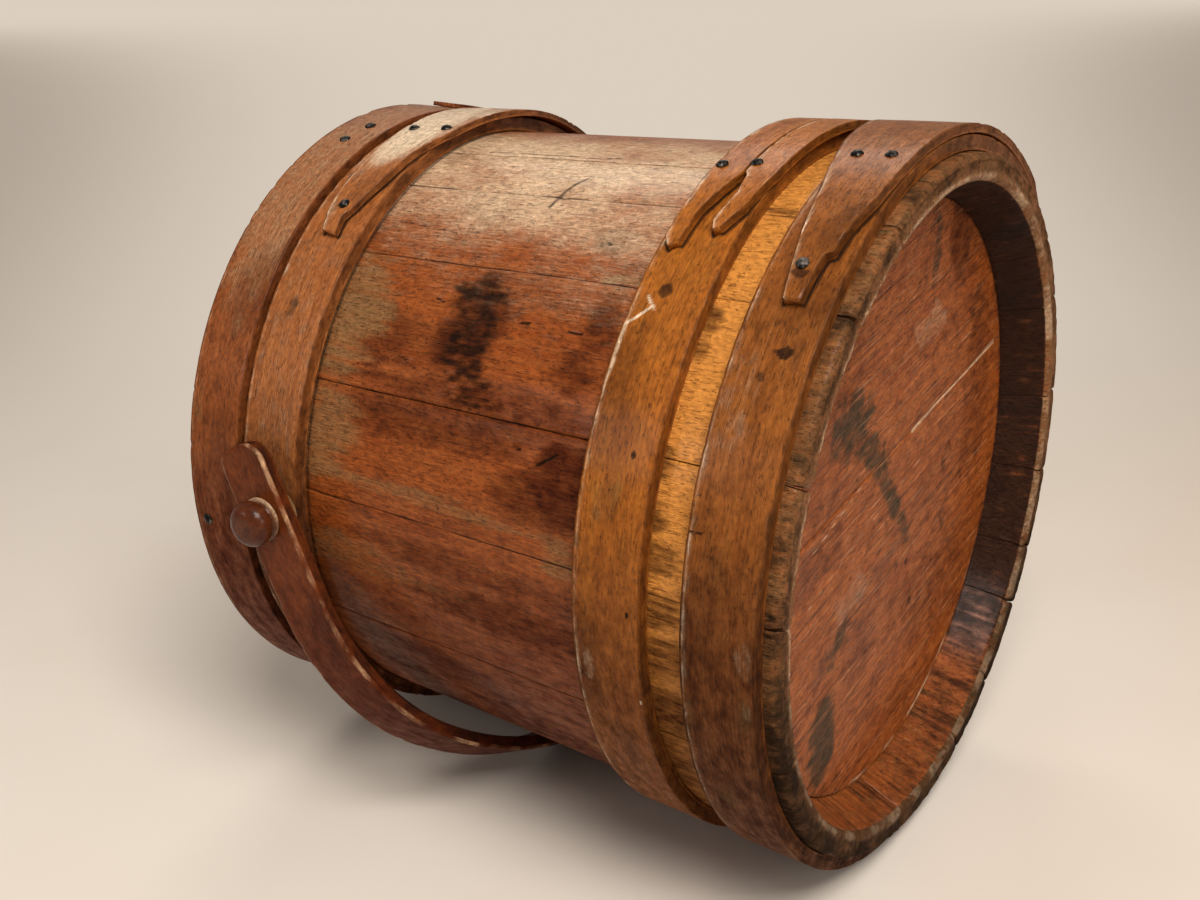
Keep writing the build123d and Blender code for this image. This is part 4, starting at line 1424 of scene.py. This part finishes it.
@dataclass
class Studio:
    """Pale floor, soft lights and the camera."""

    floor_reach: float = 9.0
    floor_drop: float = 0.0002
    camera_at: tuple[float, float, float] = (0.36418, -0.59370, 0.43179)
    camera_aim: tuple[float, float, float] = (0.05867, -0.12717, 0.21040)
    camera_roll: float = -1.13
    lens: float = 48.0
    sensor: float = 36.0
    far_clip: float = 50.0
    sky: str = "f2e9df"
    sky_strength: float = 0.27
    lamps: dict[str, tuple] = field(default_factory=lambda: {
        "rear": ((-0.70, 1.10, 1.35), (0.0, 0.0, 0.2), (0.9, 0.4), 6.0, "fff6ea"),
        "front": ((0.80, -0.80, 1.60), (0.0, -0.05, 0.1), (0.9, 0.8), 34.5, "fff8ee"),
        "end": ((1.40, -0.40, 0.75), (0.1, 0.0, 0.15), (0.5, 0.5), 3.0, "fffaf4"),
        "left": ((-0.95, -1.35, 0.78), (-0.1, 0.0, 0.15), (0.4, 0.5), 2.2, "fffaf4")})

    def floor(self) -> None:
        """A wide flat floor."""
        step = np.linspace(-self.floor_reach, self.floor_reach, 41)
        x, y = np.meshgrid(step, step, indexing="ij")
        points = np.stack([x, y, np.full(x.shape, -self.floor_drop)], axis=-1).reshape(-1, 3)
        index = np.arange(len(points)).reshape(x.shape)
        corners = [index[:-1, :-1], index[1:, :-1], index[1:, 1:], index[:-1, 1:]]
        faces = np.stack(corners, axis=-1).reshape(-1, 4)
        mesh = bpy.data.meshes.new("floor")
        mesh.from_pydata(points.tolist(), [], faces.tolist())
        mesh.materials.append(Ground("studio_floor").build())
        made = bpy.data.objects.new("floor", mesh)
        bpy.context.scene.collection.objects.link(made)

    def lamp(self, name: str, at: tuple, aim: tuple, size: tuple, power: float, tint: str) -> None:
        """A rectangular lamp that shines from one point towards another.

        Args:
            name: name of the lamp.
            at: where it stands.
            aim: what it points at.
            size: its width and height, in metres.
            power: in watts.
            tint: colour code.
        """
        data = bpy.data.lights.new(name, "AREA")
        data.shape = "RECTANGLE"
        data.size, data.size_y = size
        data.energy = power
        data.color = colour(tint)[:3]
        made = bpy.data.objects.new(name, data)
        made.location = at
        made.rotation_euler = (Vector(aim) - Vector(at)).to_track_quat("-Z", "Y").to_euler()
        bpy.context.scene.collection.objects.link(made)

    def world(self) -> None:
        """An even, pale surrounding."""
        world = bpy.data.worlds.new("studio")
        bpy.context.scene.world = world
        world.use_nodes = True
        tree = world.node_tree
        back = tree.nodes["Background"]
        back.inputs["Color"].default_value = colour(self.sky)
        back.inputs["Strength"].default_value = self.sky_strength
        seen = tree.nodes.new("ShaderNodeBackground")
        seen.inputs["Color"].default_value = colour(Ground.far)
        path = tree.nodes.new("ShaderNodeLightPath")
        mixed = tree.nodes.new("ShaderNodeMixShader")
        tree.links.new(path.outputs["Is Camera Ray"], mixed.inputs[0])
        tree.links.new(back.outputs[0], mixed.inputs[1])
        tree.links.new(seen.outputs[0], mixed.inputs[2])
        tree.links.new(mixed.outputs[0], tree.nodes["World Output"].inputs["Surface"])

    def camera(self) -> None:
        """A camera that looks down on the bottom end from the near side."""
        at, aim = Vector(self.camera_at), Vector(self.camera_aim)
        ahead = (aim - at).normalized()
        level = ahead.cross(Vector((0.0, 0.0, 1.0))).normalized()
        above = level.cross(ahead)
        roll = math.radians(self.camera_roll)
        right = level * math.cos(roll) + above * math.sin(roll)
        upward = right.cross(ahead)
        turned = Matrix((right, upward, -ahead)).transposed().to_4x4()
        data = bpy.data.cameras.new("camera")
        data.lens = self.lens
        data.sensor_width = self.sensor
        data.clip_end = self.far_clip
        made = bpy.data.objects.new("camera", data)
        made.matrix_world = Matrix.Translation(at) @ turned
        bpy.context.scene.collection.objects.link(made)
        bpy.context.scene.camera = made

    def build(self) -> None:
        """Set the stage."""
        bpy.context.scene.view_settings.view_transform = "Standard"
        self.floor()
        self.world()
        for name, settings in self.lamps.items():
            self.lamp(name, *settings)
        self.camera()


# ---------------------------------------------------------------- the firkin

def build_bands(lay: Lay) -> None:
    """Make the three hoops, the rim of the lid, and their nails."""
    common = {"wine_and_shade": "3a1a08", "silt": "6e5434", "rub": "e6ccae", "figure": 0.3, "grain": 0.4,
              "mottled": 0.42, "speckle": 0.6}
    shades = {"hoop_bottom": {"heart": "874c1e", "pale": "a4662e", "dark": "44230b", "bare_and_lit": "b4762e"},
              "hoop_middle": {"heart": "99561e", "pale": "b8722a", "dark": "52290b", "bare_and_lit": "c07e2c"},
              "hoop_top": {"heart": "9c5a2c", "pale": "bc7a44", "dark": "522b10", "bare_and_lit": "ba7c36",
                           "coat": 0.3}}
    woods = {name: Timber(f"{name}_wood", **shade, **common).build() for name, shade in shades.items()}
    rim_wood = Timber("rim_wood", heart="8e4c22", pale="a66234", dark="451f0d", bare_and_lit="aa6424", wine_and_shade="42170b",
                      rub="cda57c", figure=0.3, grain=0.3, coat=0.3, speckle=0.6).build()

    def hoop(node: str, place: float, **rest: object) -> Band:
        """A hoop whose bore follows the wall and stands a hair clear of it."""
        return Band(lay=lay, wood=woods[node], node=node, body="bucket", slot="hoop_wood", place=place,
                    bore=BOTTOM_RADIUS + 0.15 - TAPER * place, taper=TAPER, thickness=6.5, **rest)

    bottom = hoop(
        "hoop_bottom", 6.3, width=31.7, ply=4.6, tone=Tone.BROWN, worn_top=0.08,
        tails=[([(-58, 31.7), (-28, 39.2), (-10, 42.2), (9, 34.7), (21, 27.7), (32, 23.2), (42.6, 18.0)],
                [(-58, 0), (16, 0.3), (24, 1.5), (30, 5.1), (34.6, 6.3), (35.2, 9.1), (37.7, 10),
                 (42.4, 10.7)])],
        soot=[*blots({1: [(49.4, 17.1, 5, 3.2, 0.8, 0, 0.9), (53.1, 23.1, 3, 2, 0.6, 0, 0.9),
                          (38.5, 21.5, 5, 3.2, 0.7), (79, 26, 13, 44, 0.3, 0, 0.8),
                          (118, 20, 30, 80, 0.3, 0, 0.6), (98, 33, 9, 34, 0.25, 0, 0.8)]}),
              *strokes((((74.2, 38.5), (74.8, 35.0), (74.5, 32.0)), 0.5, 0.9))],
        rub=blots({1: [(90.1, 11.3, 5, 9, 0.22), (97, 9.5, 3, 9, 0.18), (57, 30, 12, 30, 0.2)]}))
    middle = hoop(
        "hoop_middle", 55.4, width=30.8, ply=4.2, tone=Tone.GOLDEN, worn_top=0.12,
        tails=[([(-58, 30.8), (9, 28.4), (34.8, 27.6), (36.2, 25.1)],
                [(-58, 13.2), (0, 13.3), (20, 13.3), (24, 16.1), (29, 19.6), (35.2, 20.4)]),
               ([(-58, 13.0), (0, 13.1), (20, 12.9), (21, 11.0), (25, 9.6), (31, 11.9), (32.7, 9.8)],
                [(-58, 0.0), (0, -2.2), (19.5, -1.2), (28, 2.1), (32.2, 6.6)])],
        soot=blots({1: [(42.8, 73.9, 3.4, 3.4, 0.7, 0, 0.9), (66.6, 65.3, 1.4, 2, 0.8),
                        (88.9, 60.7, 1.2, 1.8, 0.9), (80, 84, 3, 4, 0.5)]}),
        rub=[*blots({1: [(98.6, 79.5, 4, 10, 0.3), (103, 56.5, 1.5, 1.6), (52, 85.3, 2.2, 26, 0.7),
                         (30, 85.3, 2.2, 20, 0.8)]}),
             *strokes((((49.2, 86.4), (47.5, 81.0), (45.4, 76.0)), 0.7),
                      (((44.0, 80.0), (46.0, 75.0)), 0.6, 0.9))])
    top = hoop(
        "hoop_top", 231.0, width=32.4, ply=3.6, tone=Tone.BROWN, worn_top=1.0,
        tails=[([(-58, 32.4), (13, 25.5), (33, 23.5), (37, 22.0), (40.6, 19.0)],
                [(-58, 0), (-10, -6.5), (11, -4.5), (20.5, 2), (28, 4.2), (35.5, 9.4), (37.5, 12),
                 (41, 10.6)])],
        soot=blots({1: [(55, 250, 4, 6, 0.5)]}),
        # the two large pale patches, on top and on the near side, are a painted sheen
        rub=blots({1: [(8, 246, 20, 54, 1, 0, 0.1), (36, 250, 3, 9, 0.3), (62, 246, 26, 90, 0.2, 0, 0.3)]}))
    rim = Band(
        lay, rim_wood, "lid_rim", "lid", "rim_wood", place=264.4, width=28.5, bore=137.2, taper=0.0,
        thickness=7.6, ply=2.2, tone=Tone.RED, lift=0.0, worn_top=0.4,
        tails=[([(-58, 28.5), (-20, 28.0), (-12, 22.0)], [(-58, 0.0), (-18, 0.0), (-11, 7.0)])],
        # the pale patch on top is a painted sheen as well as wear
        rub=blots({1: [(22, 276, 26, 130, 0.42, 0, 0.15)]}))
    nails = Nails(lay, Iron("nail_iron").build())
    driven = (
        (bottom, 43.3, [(37.1, 15.7), (13.6, 23.1), (13.3, 9.3), (-24, 17.7), (-33, 9.7)]),
        (middle, 36.2, [(18.6, 24.8), (17.6, 10.9), (-20, 20.6), (-28, 8.6)]),
        (top, 41.4, [(34.9, 15.2), (11.6, 19.0), (10.8, 1.8), (-24, 21.0), (-32, 9.0)]),
        (rim, -11.0, [(11.5, 12.1), (17.5, 14.9), (95.8, 21.5), (150, 21.5), (206, 21.5), (252, 21.5),
                      (-29, 16)]))
    for seed, (band, tail_end, places) in enumerate(driven):
        band.build(501 + 100 * seed)

        def covered_by(angle: float, band: Band = band, tail_end: float = tail_end) -> float:
            """Thickness of the outer turn at an angle."""
            return band.ply if band.lead < angle < tail_end else 0.0

        def seat(s: float, angle: float, band: Band = band) -> float:
            """Radius of the band under a nail head."""
            return band.inner(s) + band.thickness + covered_by(angle) - 0.1

        def length(s: float, angle: float, band: Band = band) -> float:
            """Length of a shank: through the band and into the wood, where there is wood behind it."""
            short = band.body == "lid" and s < 277.4
            return band.thickness + covered_by(angle) + (0.0 if short else 7.0)

        placed = [(angle, band.place + rise) for angle, rise in places]
        nails.build(f"{band.node}_nails", band.body, placed, seat, length)


def build_boards(lay: Lay) -> None:
    """Make the head in the bottom end and the boards of the lid."""
    head_wood = Timber("head_wood", heart="964c1e", pale="b2672f", dark="4a1c0c", bare_and_lit="b87a3e", rub="d8b493",
                       silt="2e3024", soot="1c1512", wine_and_shade="4a210e", scored=0.2, grain=0.9, mottled=0.6,
                       roughness=0.4, relief=0.5, speckle=0.7).build()
    lid_wood = Timber("lid_wood", heart="7d4a2c", pale="9b6640", dark="4a2613", bare_and_lit="ab7338", rub="c09a72",
                      roughness=0.5, coat=0.12).build()
    green = blots({1: [(42, 50, 30, 18, 1, 45, 0.5), (54, 48, 13, 15, 0.9, 0, 0.6),
                       (18, 26, 20, 10, 0.9, 45, 0.6), (-34, 100, 6, 22, 0.7), (62, -87, 17, 30, 1, 0, 0.2),
                       (50, -48, 10, 14, 0.75, 30, 0.7), (4, 12, 8, 8, 0.5)]})
    red = blots({1: [(-60, -60, 50, 26, 0.4), (60, 70, 30, 16, 0.3), (-60, 102, 16, 30, 0.8),
                     (-96, 20, 20, 60, 0.5)]})
    dots = blots({1: [(-62, 0, 8, 10, 0.5, 0, 0.8), (-63, -32, 6, 11, 0.5, 0, 0.7), (-28, -60, 3.4, 3.4, 0.7),
                      (-21, -37, 2.6, 2.6, 0.7), (-52, -48, 3, 3, 0.6), (20, -64, 3, 2, 0.6),
                      (-87, 64, 8, 11, 0.5, 0, 0.8), (-10, 96, 16, 6, 0.3), (40, -20, 3, 2, 0.6),
                      (10, -84, 4, 3, 0.5), (-70, 104, 8, 30, 0.35, 20)]})
    pale = blots({1: [(-30, 70, 26, 12, 0.35), (40, -30, 30, 12, 0.3)]})
    streak = strokes((((36, 42), (10, 14), (-6, -6)), 6.5, 0.9), (((-4, -4), (-21, -26)), 4.5, 0.75))
    joint = strokes((((-18, 26), (-115, 40)), 1.0, 0.9), (((81, 5.4), (33, 19), (-18, 26)), 0.5, 0.6),
                    (((84, -18), (30, -4), (-30, 9)), 0.35, 0.5), (((-20, 30), (-70, 52)), 0.3, 0.4))
    Boards(lay, head_wood, "bottom", "bucket", "bottom_wood", face=RECESS, thickness=12.0, radius=129.98,
           joint_angle=7.5, joint_offset=24.0, tongue=5.0, rim_rub=0.8,
           marks={"silt": green, "soot": dots, "wine_and_shade": red, "rub": pale},
           strokes={"silt": streak, "rub": joint}).build()
    Boards(lay, lid_wood, "lid", "lid", "lid_wood", face=LENGTH + 0.3, thickness=12.0, radius=137.05,
           joint_angle=24.0, joint_offset=-14.0,
           marks={"soot": blots({1: [(20, 30, 30, 14, 0.5), (-50, -40, 22, 12, 0.5)]}),
                  "silt": blots({1: [(-30, 40, 50, 25, 0.6), (40, -50, 40, 20, 0.5)]})}).build()


def main() -> None:
    """Make every piece, dress what is kept from the CAD, and set the stage."""
    logging.basicConfig(level=logging.INFO, format="%(message)s")
    nodes = frame["nodes"]
    lay = Lay(frame["joints"], peg_place=241.0)
    stave_wood = Timber("stave_wood", heart="8c4419", pale="a86230", dark="421a09", rub="e2c09c",
                        bare_and_lit="d28c40", coat=0.2, relief=0.6, mottled=0.42).build()
    Staves(lay, stave_wood).build(nodes)
    build_bands(lay)
    build_boards(lay)
    bail_wood = Timber("bail_wood", heart="6c3110", pale="84451c", dark="331404", rub="c39a76", wine_and_shade="3c1307",
                       silt="55402e", roughness=0.34, grain=0.3, relief=0.2, speckle=0.45).build()
    Bail(lay, bail_wood, lean=24.61).build()
    peg_wood = Timber("peg_wood", heart="562812", pale="6c3a1e", dark="2c1207", rub="b89878", wine_and_shade="34120a",
                      roughness=0.26, coat=0.35, relief=0.15, speckle=0.4).build()
    spacer_wood = Timber("spacer_wood", heart="8a6a48", pale="a5855e", dark="543c26").build()
    Pegs(lay, peg_wood, spacer_wood).build()
    dowel_wood = Timber("dowel_wood", heart="a9804e", pale="c09a66", dark="70502c").build()
    for name in ("bottom_dowels", "lid_dowels"):
        nodes[name].data.materials.clear()
        nodes[name].data.materials.append(dowel_wood)
    Studio().build()


if __name__ == "__main__":
    main()
